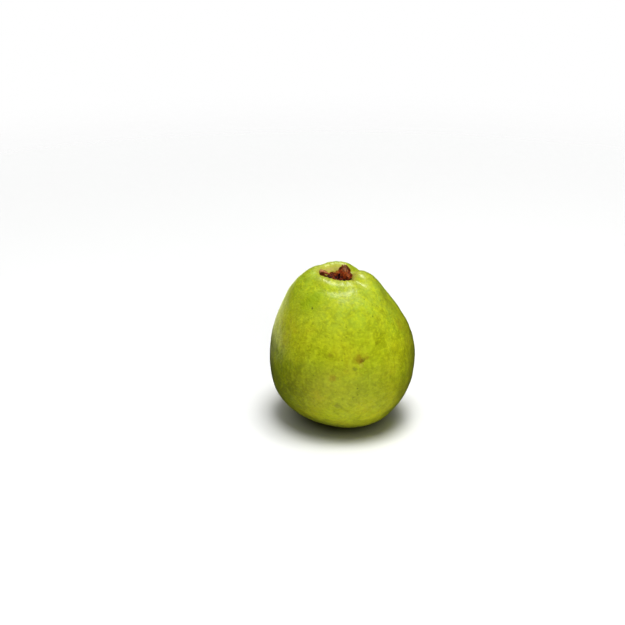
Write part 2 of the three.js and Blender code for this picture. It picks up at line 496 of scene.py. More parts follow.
@dataclass(frozen=True)
class Patches:
    """Soft patches of one colour, which start at the noise low and are full at high.

    A squeeze under 1 draws them out upwards into streaks.
    """

    size: float
    seed: float
    low: float
    high: float
    strength: float
    tint: str
    squeeze: float = 1.0


@dataclass(frozen=True)
class Dots:
    """Round dots: how far apart, how large, which pattern, and what share of them is there."""

    spacing: float
    size: float
    seed: float
    share: float


@dataclass(frozen=True)
class Mark:
    """A blemish on the skin: where it is, how large, its colour and how strong."""

    polar: float
    azimuth: float
    size: float
    tint: str
    strength: float
    ragged: float = 0.5


@dataclass(frozen=True)
class Stain:
    """A colour that comes in along a band of some measure, up to a strength."""

    tint: str
    band: Band
    strength: float = 1.0


class Finish(Graph):
    """A material on one Principled shader.

    Attributes:
        RAGGED: How far the edge of a dot strays, as a share of its size.
    """

    RAGGED = 0.6

    def __init__(self, name: str, effects: Effects) -> None:
        """Starts a material.

        Args:
            name: What the material is called.
            effects: The shader groups that it may use.
        """
        self.material = bpy.data.materials.new(name)
        self.material.use_nodes = True
        super().__init__(self.material.node_tree)
        self.effects = effects
        self.shader = self.tree.nodes["Principled BSDF"]
        self.place = self.out(self.node("ShaderNodeTexCoord"), "Object")

    def set(self, **inputs: Value) -> None:
        """Sets the shader's inputs, by name with _ for each space."""
        for name, value in inputs.items():
            self.feed(self.shader.inputs[name.replace("_", " ")], value)

    def attribute(self, name: str, output: str = "Fac") -> Field:
        """A number, or with output Vector three, that the mesh carries at each point."""
        return self.out(self.node("ShaderNodeAttribute", attribute_name=name), output)

    def patches(
        self, size: float, seed: float, low: float = 0.4, high: float = 0.6, squeeze: float = 1.0
    ) -> Field:
        """Soft patches of a size, as Mottling makes them.

        Args:
            size: The size of a patch.
            seed: The pattern's own number.
            low: The noise at which a patch starts.
            high: The noise at which it is full.
            squeeze: Its width over its height: 1 is round, and 0.2 is five times as tall.

        Returns:
            The mask, from 0 to 1.
        """
        place = self.vector("MULTIPLY", self.place, (1.0, 1.0, squeeze))
        inputs = {"Place": place, "Size": size, "Seed": seed, "Low": low, "High": high}
        return self.effects.mottling.place(self, **inputs)

    def dotted(self, dots: Dots) -> Field:
        """Round dots, as Specks makes them, a little ragged.

        Args:
            dots: The dots.

        Returns:
            The mask, from 0 to 1.
        """
        inputs = {"Place": self.place, "Spacing": dots.spacing, "Size": dots.size}
        inputs |= {"Seed": dots.seed, "Share": dots.share, "Ragged": dots.size * self.RAGGED}
        return self.effects.specks.place(self, **inputs)

    def stained(self, tint: Value, stain: Stain, measure: Field, share: Value = 1.0) -> Field:
        """Lays a stain over a colour.

        Args:
            tint: The colour so far.
            stain: The stain.
            measure: What its band is measured on.
            share: How much of it there is besides, from 0 to 1.

        Returns:
            The colour with the stain.
        """
        mask = self.smooth(measure, *stain.band) * share * stain.strength
        return self.mix(mask, tint, colour(stain.tint))

    def relief(self, height: Field, distance: float) -> None:
        """Gives the surface fine relief, where a height of 1 stands out by the distance."""
        bump = self.node("ShaderNodeBump", {"Height": height, "Distance": distance})
        self.feed(self.shader.inputs["Normal"], self.out(bump, "Normal"))


@dataclass(frozen=True)
class SkinFinish:
    """The guava's waxy green skin, paler round the calyx, partly as painted sheen, and yellower
    underneath.

    Attributes:
        crown: The colour round the calyx, its pale whitish cast partly the skin's own and partly a
            painted sheen.
        flank: The colour of the sides, which comes in as the height falls.
        foot: The colour underneath, which does so further down.
        wander: How large the waves in those two borders are, and how high.
        edge: Painted shade, a darker colour where the flank is seen edge on, by how much it faces
            away.
        edge_shade_heights: The heights over which that painted shade comes in.
        wall: The colour of the hollow under the calyx, by how deep it is.
        floor: The colour at the bottom of that hollow.
        lip: The colour of the scraps of dry skin on its wall, which end over lip_end.
        funnel: The colour of the hollow round the stem, by how deep it is.
        fray: How large the waves in the borders of the floor and the funnel are, and how deep.
        funnel_fray: The share of that depth which the funnel's has.
        pores: Wide faint dots.
        glands: The oil glands, which are fine dots just under the skin.
        gland_strengths: How dark they are where they are sparse and where they crowd.
        gland_depth: How far they sink in, as a share of the pebbles' height.
        freckles: Small brown dots, which come in crowds.
        fine_freckles: Smaller ones, which are fainter by fine_strength.
        roughness: How rough the skin is in its glossy patches and in its dull ones.
        wax: How strong the waxy coat is.
        translucence: How much light goes into the flesh and comes out again.
        light_depth: How deep that light goes, times light_reach for red, green and blue.
        pebbles: How large the skin's finest relief is, and how high.
        painted_shade_patches: Painted shade, broad darker olive patches on the lower left side and
            the right edge.
        marks: Scars and bruises, with a painted highlight below the big scar and painted shade in
            the dent on the upper left front.
    """

    # Partly painted sheen: the pale whitish cast of the top.
    crown: str = "a0b632"
    flank: Stain = Stain("a9b010", (75 * MM, 48 * MM))
    foot: Stain = Stain("d0cf22", (45 * MM, 8 * MM))
    wander: tuple[float, float] = (24 * MM, 30 * MM)
    # Painted shade: dark olive where the skin is seen edge on, low on the fruit.
    edge: Stain = Stain("4c5a00", (0.5, 0.95), 0.5)
    edge_shade_heights: Band = (72 * MM, 50 * MM)
    wall: Stain = Stain("b8b648", (0.02, 0.3), 0.7)
    floor: Stain = Stain("6d3a18", (0.95, 1.15))
    lip: Stain = Stain("cfa27a", (0.3, 0.45), 0.35)
    lip_end: Band = (0.7, 0.5)
    funnel: Stain = Stain("7a4a1c", (0.45, 1.0), 0.85)
    fray: tuple[float, float] = (2.5 * MM, 0.3)
    funnel_fray: float = 0.6
    pores: Dots = Dots(5.2 * MM, 1.15 * MM, 14.0, 0.55)
    pore_tint: str = "808a04"
    pore_strength: float = 0.5
    glands: Dots = Dots(1.9 * MM, 0.6 * MM, 32.0, 0.8)
    gland_tint: str = "6f7c04"
    gland_strengths: tuple[float, float] = (0.3, 0.75)
    gland_depth: float = 0.3
    freckles: Dots = Dots(6 * MM, 0.55 * MM, 7.0, 0.5)
    fine_freckles: Dots = Dots(3.2 * MM, 0.3 * MM, 8.0, 0.4)
    fine_strength: float = 0.7
    freckle_tint: str = "5c4a0c"
    freckle_strength: float = 0.8
    roughness: tuple[float, float] = (0.32, 0.42)
    scar_roughness: float = 0.5
    gloss: float = 0.14
    wax: float = 0.42
    wax_roughness: float = 0.34
    translucence: float = 0.1
    light_depth: float = 0.8 * MM
    light_reach: Rgb = (1.0, 1.0, 0.3)
    pebbles: tuple[float, float] = (1.1 * MM, 0.34 * MM)
    mottling: tuple[Patches, ...] = (
        Patches(26 * MM, 2.0, 0.42, 0.66, 0.5, "94ae06"),
        Patches(15 * MM, 3.0, 0.48, 0.70, 0.4, "bcaa10"),
        Patches(8.0 * MM, 4.0, 0.42, 0.66, 0.46, "8a9202"),
        Patches(3.6 * MM, 5.0, 0.48, 0.64, 0.42, "868e02"),
        Patches(3.4 * MM, 61.0, 0.50, 0.68, 0.34, "c2d028", 0.2),
        Patches(3.0 * MM, 10.0, 0.48, 0.66, 0.42, "c0cc1c"),
        Patches(1.6 * MM, 17.0, 0.50, 0.66, 0.30, "828a00"),
        Patches(1.3 * MM, 13.0, 0.46, 0.66, 0.42, "c8d01e"),
    )
    # Painted shade: broad darker olive on the lower left side and along the right edge.
    painted_shade_seed: float = 80.0
    painted_shade_patches: tuple[Mark, ...] = (
        Mark(114, -166, 40 * MM, "464c00", 0.8, 0.15),
        Mark(100, -4, 22 * MM, "7a8200", 0.3, 0.2),
    )
    mark_seed: float = 40.0
    marks: tuple[Mark, ...] = (
        Mark(81.6, -76.4, 4.6 * MM, "968e04", 0.55, 1.3),
        Mark(82.2, -77.6, 2.2 * MM, "8a7604", 0.7, 1.3),
        Mark(83.2, -75.8, 1.4 * MM, "705404", 0.85, 1.1),
        Mark(82.2, -73.6, 1.5 * MM, "6e6604", 0.75, 1.1),
        Mark(79.0, -77.4, 1.2 * MM, "8e7406", 0.55, 1.0),
        Mark(81.2, -70.6, 1.2 * MM, "8a8406", 0.7, 0.8),
        # Painted highlight: the lit lower lip of the big scar's small pit.
        Mark(86.4, -76.6, 1.4 * MM, "d0cc50", 0.3, 0.8),
        Mark(70.9, -60.0, 1.6 * MM, "868c02", 0.9, 0.9),
        Mark(70.6, -57.2, 1.3 * MM, "8c9202", 0.8, 0.9),
        Mark(67.4, -60.6, 1.1 * MM, "969e06", 0.8, 0.9),
        Mark(96.4, -99.4, 2.4 * MM, "a88810", 0.5, 0.9),
        Mark(78.1, -100.0, 1.6 * MM, "7c6c0a", 0.4, 0.9),
        # Painted shade: the darker green of the shallow dent on the upper left front.
        Mark(38.0, -129.0, 8.0 * MM, "86a004", 0.55, 0.5),
        Mark(42.7, -123.9, 0.9 * MM, "4a5216", 0.8, 0.5),
        Mark(121.1, -97.9, 2.0 * MM, "7a7420", 0.5, 0.9),
        Mark(88.9, -81.6, 1.6 * MM, "6f7a18", 0.6, 0.7),
        Mark(66.6, -22.2, 5.0 * MM, "b0a010", 0.4, 0.9),
        Mark(141.6, -133.1, 1.6 * MM, "3d3a12", 0.6, 0.7),
        Mark(118.0, 38.0, 3.4 * MM, "7b5a1e", 0.6, 0.9),
        Mark(64.0, 96.0, 1.8 * MM, "6b531a", 0.6, 0.9),
        Mark(99.0, 168.0, 2.6 * MM, "84702a", 0.5, 0.9),
    )

    def paint(self, skin: Finish, fruit: "Fruit") -> None:
        """Fills the skin's material.

        Args:
            skin: The material.
            fruit: The fruit, which says where its marks lie.
        """
        tint = self._ground(skin, fruit)
        tint, scars = self._marked(skin, tint, fruit)
        # Painted shade where the skin is seen edge on.
        tint = self._paint_edge_shade(skin, self._ends(skin, tint))
        rough = skin.blend(skin.patches(size=9 * MM, seed=21.0), *self.roughness)
        rough = skin.blend(scars, rough, self.scar_roughness)
        skin.set(Base_Color=tint, Roughness=rough, Specular_IOR_Level=self.gloss)
        skin.set(Coat_Weight=self.wax, Coat_Roughness=self.wax_roughness)
        skin.set(Subsurface_Weight=self.translucence, Subsurface_Scale=self.light_depth)
        skin.set(Subsurface_Radius=self.light_reach)
        size, rise = self.pebbles
        pebbles = skin.noise(skin.place, size, seed=31.0, rough=0.6)
        skin.relief(pebbles - skin.dotted(self.glands) * self.gland_depth, rise)

    def _ground(self, skin: Finish, fruit: "Fruit") -> Field:
        """The skin's own colours, before any mark.

        Args:
            skin: The material.
            fruit: The fruit.

        Returns:
            The colour.
        """
        wave_size, wave_height = self.wander
        _, _, height = skin.parts(skin.place)
        height = height + (skin.noise(skin.place, wave_size, seed=1.0) - 0.5) * wave_height
        tint = skin.stained(colour(self.crown), self.flank, height)
        tint = skin.stained(tint, self.foot, height)
        # Painted shade on the lower left side and the right edge.
        for number, shade in enumerate(self.painted_shade_patches):
            mask = self._mask(skin, shade, self.painted_shade_seed + number, fruit)
            tint = skin.mix(mask * shade.strength, tint, colour(shade.tint))
        for patches in self.mottling:
            shape = (patches.low, patches.high, patches.squeeze)
            mask = skin.patches(patches.size, patches.seed, *shape)
            tint = skin.mix(mask * patches.strength, tint, colour(patches.tint))
        tint = skin.mix(skin.dotted(self.pores) * self.pore_strength, tint, colour(self.pore_tint))
        crowded = skin.blend(skin.patches(size=13 * MM, seed=33.0), *self.gland_strengths)
        return skin.mix(skin.dotted(self.glands) * crowded, tint, colour(self.gland_tint))

    @staticmethod
    def _mask(skin: Finish, mark: Mark, seed: float, fruit: "Fruit") -> Field:
        """Where a mark lies.

        Args:
            skin: The material.
            mark: The mark.
            seed: Which of many outlines it has.
            fruit: The fruit.

        Returns:
            The mask, from 0 off the mark to 1 on it.
        """
        at = fruit.point(mark.polar, mark.azimuth)
        inputs = {"Place": skin.place, "At": tuple(at), "Size": mark.size}
        return skin.effects.blemish.place(skin, **inputs, Ragged=mark.ragged, Seed=seed)

    def _marked(self, skin: Finish, tint: Field, fruit: "Fruit") -> tuple[Field, Field]:
        """Adds the freckles and the blemishes.

        Args:
            skin: The material.
            tint: The colour so far.
            fruit: The fruit.

        Returns:
            The colour, and how scarred the skin is.
        """
        crowds = skin.patches(size=16 * MM, seed=6.0, low=0.45, high=0.65)
        freckles = skin.dotted(self.freckles) * crowds
        fine = skin.dotted(self.fine_freckles) * skin.patches(size=12 * MM, seed=9.0)
        scars = skin.math("MAXIMUM", freckles, fine * self.fine_strength)
        tint = skin.mix(scars * self.freckle_strength, tint, colour(self.freckle_tint))
        for number, mark in enumerate(self.marks):
            mask = self._mask(skin, mark, self.mark_seed + number, fruit)
            tint = skin.mix(mask * mark.strength, tint, colour(mark.tint))
            scars = skin.math("MAXIMUM", scars, mask * mark.strength)
        return tint, scars

    def _ends(self, skin: Finish, tint: Field) -> Field:
        """Colours the hollow under the calyx, its lip and the funnel round the stem.

        Args:
            skin: The material.
            tint: The colour so far.

        Returns:
            The colour.
        """
        fray_size, fray_depth = self.fray
        frayed = skin.noise(skin.place, fray_size, seed=11.0) * fray_depth
        crown = skin.attribute(CROWN_DEPTH)
        tint = skin.stained(tint, self.wall, crown)
        tint = skin.stained(tint, self.floor, crown + frayed)
        scraps = skin.patches(size=4 * MM, seed=12.0, low=0.42, high=0.58)
        tint = skin.stained(tint, self.lip, crown, skin.smooth(crown, *self.lip_end) * scraps)
        funnel = skin.attribute(FUNNEL_DEPTH) + frayed * self.funnel_fray
        return skin.stained(tint, self.funnel, funnel)

    def _paint_edge_shade(self, skin: Finish, tint: Field) -> Field:
        """Paints shade: darkens the colour where the flank is seen edge on, low on the fruit.

        Args:
            skin: The material.
            tint: The colour so far.

        Returns:
            The colour.
        """
        facing = skin.out(skin.node("ShaderNodeLayerWeight", {"Blend": 0.5}), "Facing")
        _, _, height = skin.parts(skin.place)
        return skin.stained(tint, self.edge, facing, skin.smooth(height, *self.edge_shade_heights))


@dataclass(frozen=True)
class DryFinish:
    """Dried plant tissue, brown and dull.

    Attributes:
        dark: The colour under the patches.
        middle: The colour of its broad patches.
        light: The colour of its fine ones, which are as large as the grain.
        broad: How large the broad patches are, times the grain.
        fibre: How large the fibres of its relief are, times the grain.
    """

    name: str
    dark: str
    middle: str
    light: str
    grain: float = 1.2 * MM
    broad: float = 2.2
    fine_strength: float = 0.8
    fibre: float = 0.5
    rough: float = 0.8
    gloss: float = 0.15
    relief: float = 0.25 * MM

    def material(self, effects: Effects) -> bpy.types.Material:
        """Makes the material.

        Args:
            effects: The shader groups.

        Returns:
            The material.
        """
        dry = Finish(self.name, effects)
        dry.set(Base_Color=self._tint(dry), Roughness=self.rough, Specular_IOR_Level=self.gloss)
        fibres = dry.noise(dry.place, self.grain * self.fibre, seed=3.0, detail=3.0, rough=0.6)
        dry.relief(fibres, self.relief)
        return dry.material

    def _tint(self, dry: Finish) -> Field:
        """The colour, in broad patches and fine ones.

        Args:
            dry: The material.

        Returns:
            The colour.
        """
        broad = dry.patches(self.grain * self.broad, seed=1.0, low=0.35, high=0.65)
        tint = dry.mix(broad, colour(self.dark), colour(self.middle))
        fine = dry.patches(self.grain, seed=2.0, low=0.5, high=0.7) * self.fine_strength
        return dry.mix(fine, tint, colour(self.light))


@dataclass(frozen=True)
class BladeFinish(DryFinish):
    """Dried tissue in blades: streaked along, dark at the edges and faded at some tips.

    Attributes:
        pale: The colour of a faded tip.
        fibres: How many streaks there are across half a blade and along it.
        streak: The noise over which a streak comes in, up to streak_strength.
        faded_middle: How far out from the middle the faded tip ends.
        faded_start: How far along it comes in.
        faded_fibres: The noise over which it does so from streak to streak.
        edge: How far out from the middle the dark edge comes in, up to edge_strength.
        edge_wander: How far the fibres move it.
        edge_end: How far along it ends.
    """

    pale: str = "c89468"
    fibres: tuple[float, float] = (7.0, 1.4)
    streak: Band = (0.5, 0.62)
    streak_strength: float = 0.75
    faded_middle: Band = (0.75, 0.2)
    faded_start: Band = (0.25, 0.6)
    faded_fibres: Band = (0.3, 0.5)
    faded_strength: float = 0.9
    edge: Band = (0.85, 1.15)
    edge_wander: float = 0.4
    edge_end: Band = (1.0, 0.7)
    edge_strength: float = 0.75

    def _tint(self, dry: Finish) -> Field:
        """The colour, with its streaks, its faded tip and its edges.

        Args:
            dry: The material.

        Returns:
            The colour.
        """
        across, along, fading = dry.parts(dry.attribute(BLADE, "Vector"))
        off_middle = dry.math("ABSOLUTE", across)
        count_across, count_along = self.fibres
        place = dry.joined(across * count_across, along * count_along, 0.0)
        fibres = dry.noise(place, size=1.0, seed=5.0, detail=3.0, rough=0.6)
        streaks = Stain(self.light, self.streak, self.streak_strength)
        tint = dry.stained(super()._tint(dry), streaks, fibres)
        tip = fading * dry.smooth(along, *self.faded_start) * dry.smooth(fibres, *self.faded_fibres)
        tint = dry.stained(
            tint, Stain(self.pale, self.faded_middle, self.faded_strength), off_middle, tip
        )
        edge = Stain(self.dark, self.edge, self.edge_strength)
        end = dry.smooth(along, *self.edge_end)
        return dry.stained(tint, edge, off_middle + fibres * self.edge_wander, end)


# ---- Meshes ----


def outwards(azimuth: float) -> Vector:
    """The level unit vector that points away from the axis at an azimuth."""
    return Vector((math.cos(math.radians(azimuth)), math.sin(math.radians(azimuth)), 0.0))


def towards(polar: float, azimuth: float) -> Vector:
    """The unit vector towards a polar angle and azimuth."""
    flat = outwards(azimuth) * math.sin(math.radians(polar))
    return Vector((flat.x, flat.y, math.cos(math.radians(polar))))


@dataclass(frozen=True)
class Lumps:
    """Noise of one size: how many lumps there are to a unit of length, and how strong it is."""

    count: float
    strength: float


def lumpy(spot: Vector, layers: Sequence[Lumps]) -> float:
    """The noise at a spot, in several sizes at once."""
    return sum(layer.strength * noise.noise(spot * layer.count) for layer in layers)


@dataclass
class Sheet:
    """Points and faces that are gathered before they become one mesh."""

    points: list[Vector] = field(default_factory=list)
    faces: list[tuple[int, ...]] = field(default_factory=list)
    blades: list[Vector] = field(default_factory=list)

    def grid(
        self,
        rows: int,
        columns: int,
        at: Callable[[float, float], Vector],
        fading: float = 0.0,
    ) -> None:
        """Adds a grid of faces.

        Args:
            rows: How many faces it has along.
            columns: How many faces it has across.
            at: The point at a share along and a share across, each from 0 to 1.
            fading: How much the tip is faded.
        """
        first = len(self.points)
        for row in range(rows + 1):
            for column in range(columns + 1):
                along, across = row / rows, column / columns
                self.points.append(at(along, across))
                self.blades.append(Vector((2 * across - 1, along, fading)))
        for row in range(rows):
            for column in range(columns):
                a = first + row * (columns + 1) + column
                self.faces.append((a, a + 1, a + columns + 2, a + columns + 1))

    def piece(self, name: str, finish: bpy.types.Material) -> bpy.types.Object:
        """Makes one closed piece, its seams merged and its faces outwards.

        Args:
            name: The piece's name.
            finish: Its material.

        Returns:
            The piece.
        """
        mesh = bpy.data.meshes.new(name)
        mesh.from_pydata([tuple(p) for p in self.points], [], self.faces)
        blades = mesh.attributes.new(BLADE, "FLOAT_VECTOR", "POINT")
        blades.data.foreach_set("vector", [number for blade in self.blades for number in blade])
        shape = bmesh.new()
        shape.from_mesh(mesh)
        bmesh.ops.remove_doubles(shape, verts=shape.verts, dist=MERGE)
        bmesh.ops.dissolve_degenerate(shape, edges=shape.edges, dist=MERGE)
        bmesh.ops.recalc_face_normals(shape, faces=shape.faces)
        shape.to_mesh(mesh)
        shape.free()
        mesh.polygons.foreach_set("use_smooth", [True] * len(mesh.polygons))
        mesh.materials.append(finish)
        piece = bpy.data.objects.new(name, mesh)
        bpy.context.scene.collection.objects.link(piece)
        return piece


# ---- The fruit ----


@dataclass(frozen=True)
class Swell:
    """A broad swelling or dent: where it is, how wide it spreads, and how far it stands out."""

    polar: float
    azimuth: float
    spread: float
    rise: float


@dataclass(frozen=True)
class Crease:
    """A fold that runs out over a hollow's lip."""

    azimuth: float
    width: float
    depth: float


@dataclass(frozen=True)
class Hollow:
    """A hollow at one end of the fruit, with its creases.

    Attributes:
        carried: What its depth is called where the mesh carries it.
        radius: How far from the axis its wall is, on average.
        steepness: How steep its wall is.
        ovalness: How much further out its wall is at long_azimuth, as a share of its radius.
        crease_distance: How far from the axis the creases are deepest.
        crease_spread: How far they reach to either side of that.
    """

    name: str
    carried: str
    radius: float
    depth: float
    steepness: float
    ovalness: float
    long_azimuth: float
    creases: tuple[Crease, ...]
    crease_distance: float
    crease_spread: float


@dataclass(frozen=True)
class Roll:
    """A low rounded roll along a hollow's lip, which reaches to either side of its azimuth."""

    distance: float
    width: float
    azimuth: float
    reach: float
    rise: float


@dataclass(frozen=True)
class Bumps:
    """Relief of one size over the skin: how large the lumps are, how high, and which pattern."""

    name: str
    size: float
    height: float
    seed: float
    detail: float = 1.0


@dataclass
class Fruit:
    """The fruit's skin: one rule for its radius about its heart, with fine relief over it.

    Attributes:
        heart_height: How high the heart is, from which the radius is measured.
        foot_reach: How far the foot is out and the crown in from the mean radius.
        stretch: How far both ends are out and the waist in.
        shoulder: How far the upper sides are in and the lower ones out.
        fullness: How far the ends and the waist are out and the slopes between them in.
        crown_lean: How far the axis leans along X over the fruit's height.
        sides: How many faint sides it has, side_rise high, with one at side_azimuth.
        crease_start: How far from the axis the creases are fully there.
        crowding: How closely the rings of the mesh crowd towards its two ends.
        crown: The hollow under the calyx, which the rolls run along.
        funnel: The hollow round the stem.
        level_band: The heights over which the relief comes in above the flat foot.
        pucker_distance: How far from the axis the fine puckers are, in crown radii.
        pucker_spread: How far they reach to either side of that, in crown radii.
        wander: How far they stray round the axis, in radians of their wave.
        wander_turn: How far round the axis a stray reaches, in radians.
        wander_length: How much closer strays follow each other outwards, in radians to the metre.
        shift: From its own axis to the frame, once it is settled there.
    """

    heart_height: float = 42.3 * MM
    mean_radius: float = 39.3 * MM
    foot_reach: float = 3.4 * MM
    stretch: float = 3.9 * MM
    shoulder: float = 0.8 * MM
    fullness: float = 0.9 * MM
    height: float = 82 * MM
    crown_lean: float = -6.4 * MM
    sides: int = 5
    side_rise: float = 0.55 * MM
    side_azimuth: float = 20.0
    crease_start: float = 3 * MM
    segments: int = 340
    rings: int = 280
    crowding: float = 0.62
    swells: tuple[Swell, ...] = (
        Swell(20, -68, 13, -2.3 * MM),
        Swell(15, 92, 11, 0.4 * MM),
        Swell(26, -8, 9, 1.3 * MM),
        Swell(38, 178, 17, 1.2 * MM),
        Swell(45, -4, 9, -1.3 * MM),
        Swell(37, -124, 10, -0.9 * MM),
        Swell(131, 186, 18, 4.4 * MM),
        Swell(92, 62, 22, -1.1 * MM),
        Swell(118, 118, 20, 0.9 * MM),
        Swell(163, 22, 12, 0.8 * MM),
        Swell(74, -52, 20, 0.7 * MM),
    )
    crown: Hollow = Hollow(
        name="Crown",
        carried=CROWN_DEPTH,
        radius=8.1 * MM,
        depth=8.2 * MM,
        steepness=8.0,
        ovalness=0.1,
        long_azimuth=-8.0,
        creases=(
            Crease(34, 17, 3.4 * MM),
            Crease(126, 14, 0.5 * MM),
            Crease(202, 15, 0.5 * MM),
            Crease(-92, 18, 0.3 * MM),
            Crease(-35, 11, 2.2 * MM),
        ),
        crease_distance=11.8 * MM,
        crease_spread=7.2 * MM,
    )
    funnel: Hollow = Hollow(
        name="Funnel",
        carried=FUNNEL_DEPTH,
        radius=6.6 * MM,
        depth=13.4 * MM,
        steepness=3.2,
        ovalness=0.12,
        long_azimuth=30.0,
        creases=(
            Crease(12, 15, 1.3 * MM),
            Crease(78, 13, 0.9 * MM),
            Crease(146, 16, 1.4 * MM),
            Crease(214, 13, 1.0 * MM),
            Crease(-68, 15, 1.2 * MM),
        ),
        crease_distance=8 * MM,
        crease_spread=5.5 * MM,
    )
    rolls: tuple[Roll, ...] = (
        Roll(13.2 * MM, 2.0 * MM, -98, 42, 0.45 * MM),
        Roll(16.5 * MM, 1.6 * MM, -110, 30, -0.08 * MM),
    )
    relief: tuple[Bumps, ...] = (
        Bumps("Lump", 13 * MM, 0.9 * MM, 3.0),
        Bumps("Ripple", 5.5 * MM, 0.36 * MM, 5.0),
        Bumps("Pebble", 2.4 * MM, 0.17 * MM, 7.0),
    )
    level_band: Band = (0.3 * MM, 4 * MM)
    pucker_count: int = 23
    pucker_height: float = 0.12 * MM
    pucker_distance: float = 1.15
    pucker_spread: float = 0.35
    wander: float = 6.0
    wander_turn: float = 0.35
    wander_length: float = 90.0
    wander_seed: float = 13.0
    shift: Vector = field(default_factory=Vector)

    def axis_at(self, height: float) -> float:
        """Where the fruit's axis stands along X at a height."""
        return self.crown_lean * (height / self.height - 0.5)

    def point(self, polar: float, azimuth: float) -> Vector:
        """A point on the skin, away from the two hollows and without the fine relief.

        Args:
            polar: How far round it is from the calyx end.
            azimuth: Which way it is from the axis.

        Returns:
            The point.
        """
        at = math.radians(polar)
        radius = (
            self.mean_radius
            - self.foot_reach * math.cos(at)
            + self.stretch * math.cos(2 * at)
            + self.shoulder * math.cos(3 * at)
            + self.fullness * math.cos(4 * at)
        )
        way = towards(polar, azimuth)
        for swell in self.swells:
            away = way.angle(towards(swell.polar, swell.azimuth)) / math.radians(swell.spread)
            radius += swell.rise * math.exp(-away * away / 2)
        made = way * radius
        height = self.heart_height + made.z
        return Vector((made.x + self.axis_at(height), made.y, height)) + self.shift

    def build(self, finish: bpy.types.Material) -> bpy.types.Object:
        """Grows the skin from its rule, and settles it in the frame.

        Args:
            finish: The skin's material.

        Returns:
            The skin.
        """
        tree = ShapeTree("Guava skin")
        ball = tree.shape(
            "GeometryNodeMeshUVSphere",
            {
                "Segments": tree.size("Segments", self.segments),
                "Rings": tree.size("Rings", self.rings),
                "Radius": 1.0,
            },
        )
        way, polar, azimuth = self._directions(tree)
        plump = self._plump(tree, way, polar, azimuth)
        flat_x, flat_y, up = tree.parts(way)
        distance = plump * tree.math("SQRT", flat_x * flat_x + flat_y * flat_y)
        is_crown = tree.math("GREATER_THAN", up, 0.0)
        crease = self._crease_group()
        radius = plump
        for hollow, here in ((self.crown, is_crown), (self.funnel, 1.0 - is_crown)):
            share = self._hollow(tree, hollow, distance, azimuth) * here
            ball = tree.shape(
                "GeometryNodeStoreNamedAttribute",
                {"Geometry": ball, "Name": hollow.carried, "Value": share},
                data_type="FLOAT",
                domain="POINT",
            )
            sunk = share * tree.size(f"{hollow.name} Depth", hollow.depth)
            folded = self._creasing(tree, crease, hollow, distance, azimuth) * here
            radius = radius - folded - sunk
        lip = self._rolls(tree, distance, azimuth) - self._puckers(tree, distance, azimuth)
        placed = self._placed(tree, way, radius + lip * is_crown)
        skin = tree.shape("GeometryNodeSetPosition", {"Geometry": ball, "Position": placed})
        piece = tree.grown("fruit_skin", self._grained(tree, skin), finish)
        self._settle(piece)
        return piece

    def _directions(self, tree: ShapeTree) -> tuple[Field, Field, Field]:
        """Each point's direction, its polar angle and its azimuth, in radians.

        Args:
            tree: The tree.

        Returns:
            The direction, with the rings moved towards the nearer end, and its two angles.
        """
        x, y, z = tree.parts(tree.out(tree.node("GeometryNodeInputPosition")))
        even = tree.math("ARCCOSINE", z)
        crowding = tree.size("Ring Crowding", self.crowding)
        polar = even - crowding * tree.math("SINE", even * 2.0) * 0.5
        azimuth = tree.math("ARCTAN2", y, x)
        across = tree.math("SINE", polar)
        way = tree.joined(
            across * tree.math("COSINE", azimuth),
            across * tree.math("SINE", azimuth),
            tree.math("COSINE", polar),
        )
        return way, polar, azimuth

    def _plump(self, tree: ShapeTree, way: Field, polar: Field, azimuth: Field) -> Field:
        """The radius before the two hollows are sunk.

        Args:
            tree: The tree.
            way: Each point's direction.
            polar: Its polar angle.
            azimuth: Its azimuth.

        Returns:
            The radius.
        """
        radius = tree.size("Mean Radius", self.mean_radius)
        radius = radius - tree.size("Foot Reach", self.foot_reach) * tree.math("COSINE", polar)
        turns = (("Stretch", self.stretch), ("Shoulder", self.shoulder), ("Fullness", self.fullness))
        for turn, (name, rise) in enumerate(turns, start=2):
            radius = radius + tree.size(name, rise) * tree.math("COSINE", polar * float(turn))
        near = tree.math("SINE", polar) * tree.math("COSINE", polar * 0.5)
        turned = azimuth - tree.size("Side Azimuth", math.radians(self.side_azimuth))
        lobes = tree.math("COSINE", turned * tree.size("Sides", float(self.sides)))
        radius = radius + tree.size("Side Rise", self.side_rise) * near * near * lobes
        swell_group = self._swell_group()
        for swell in self.swells:
            radius = radius + swell_group.place(
                tree,
                Way=way,
                Middle=tuple(towards(swell.polar, swell.azimuth)),
                Spread=math.radians(swell.spread),
                Rise=swell.rise,
            )
        return radius

    @staticmethod
    def _swell_group() -> ShapeGroup:
        """What one broad swelling adds to the radius.

        Returns:
            The group. Spread is the swelling's spread in radians.
        """
        inputs = {"Way": (0.0, 0.0, 1.0), "Middle": (0.0, 0.0, 1.0), "Spread": 0.3, "Rise": MM}
        group = ShapeGroup("Swell", "Height", inputs)
        way, middle = group.input("Way"), group.input("Middle")
        close = group.vector("DOT_PRODUCT", way, middle, output="Value")
        away = group.math("ARCCOSINE", group.math("MINIMUM", close, 1.0)) / group.input("Spread")
        group.give(group.input("Rise") * group.bell(away * away * 0.5))
        return group

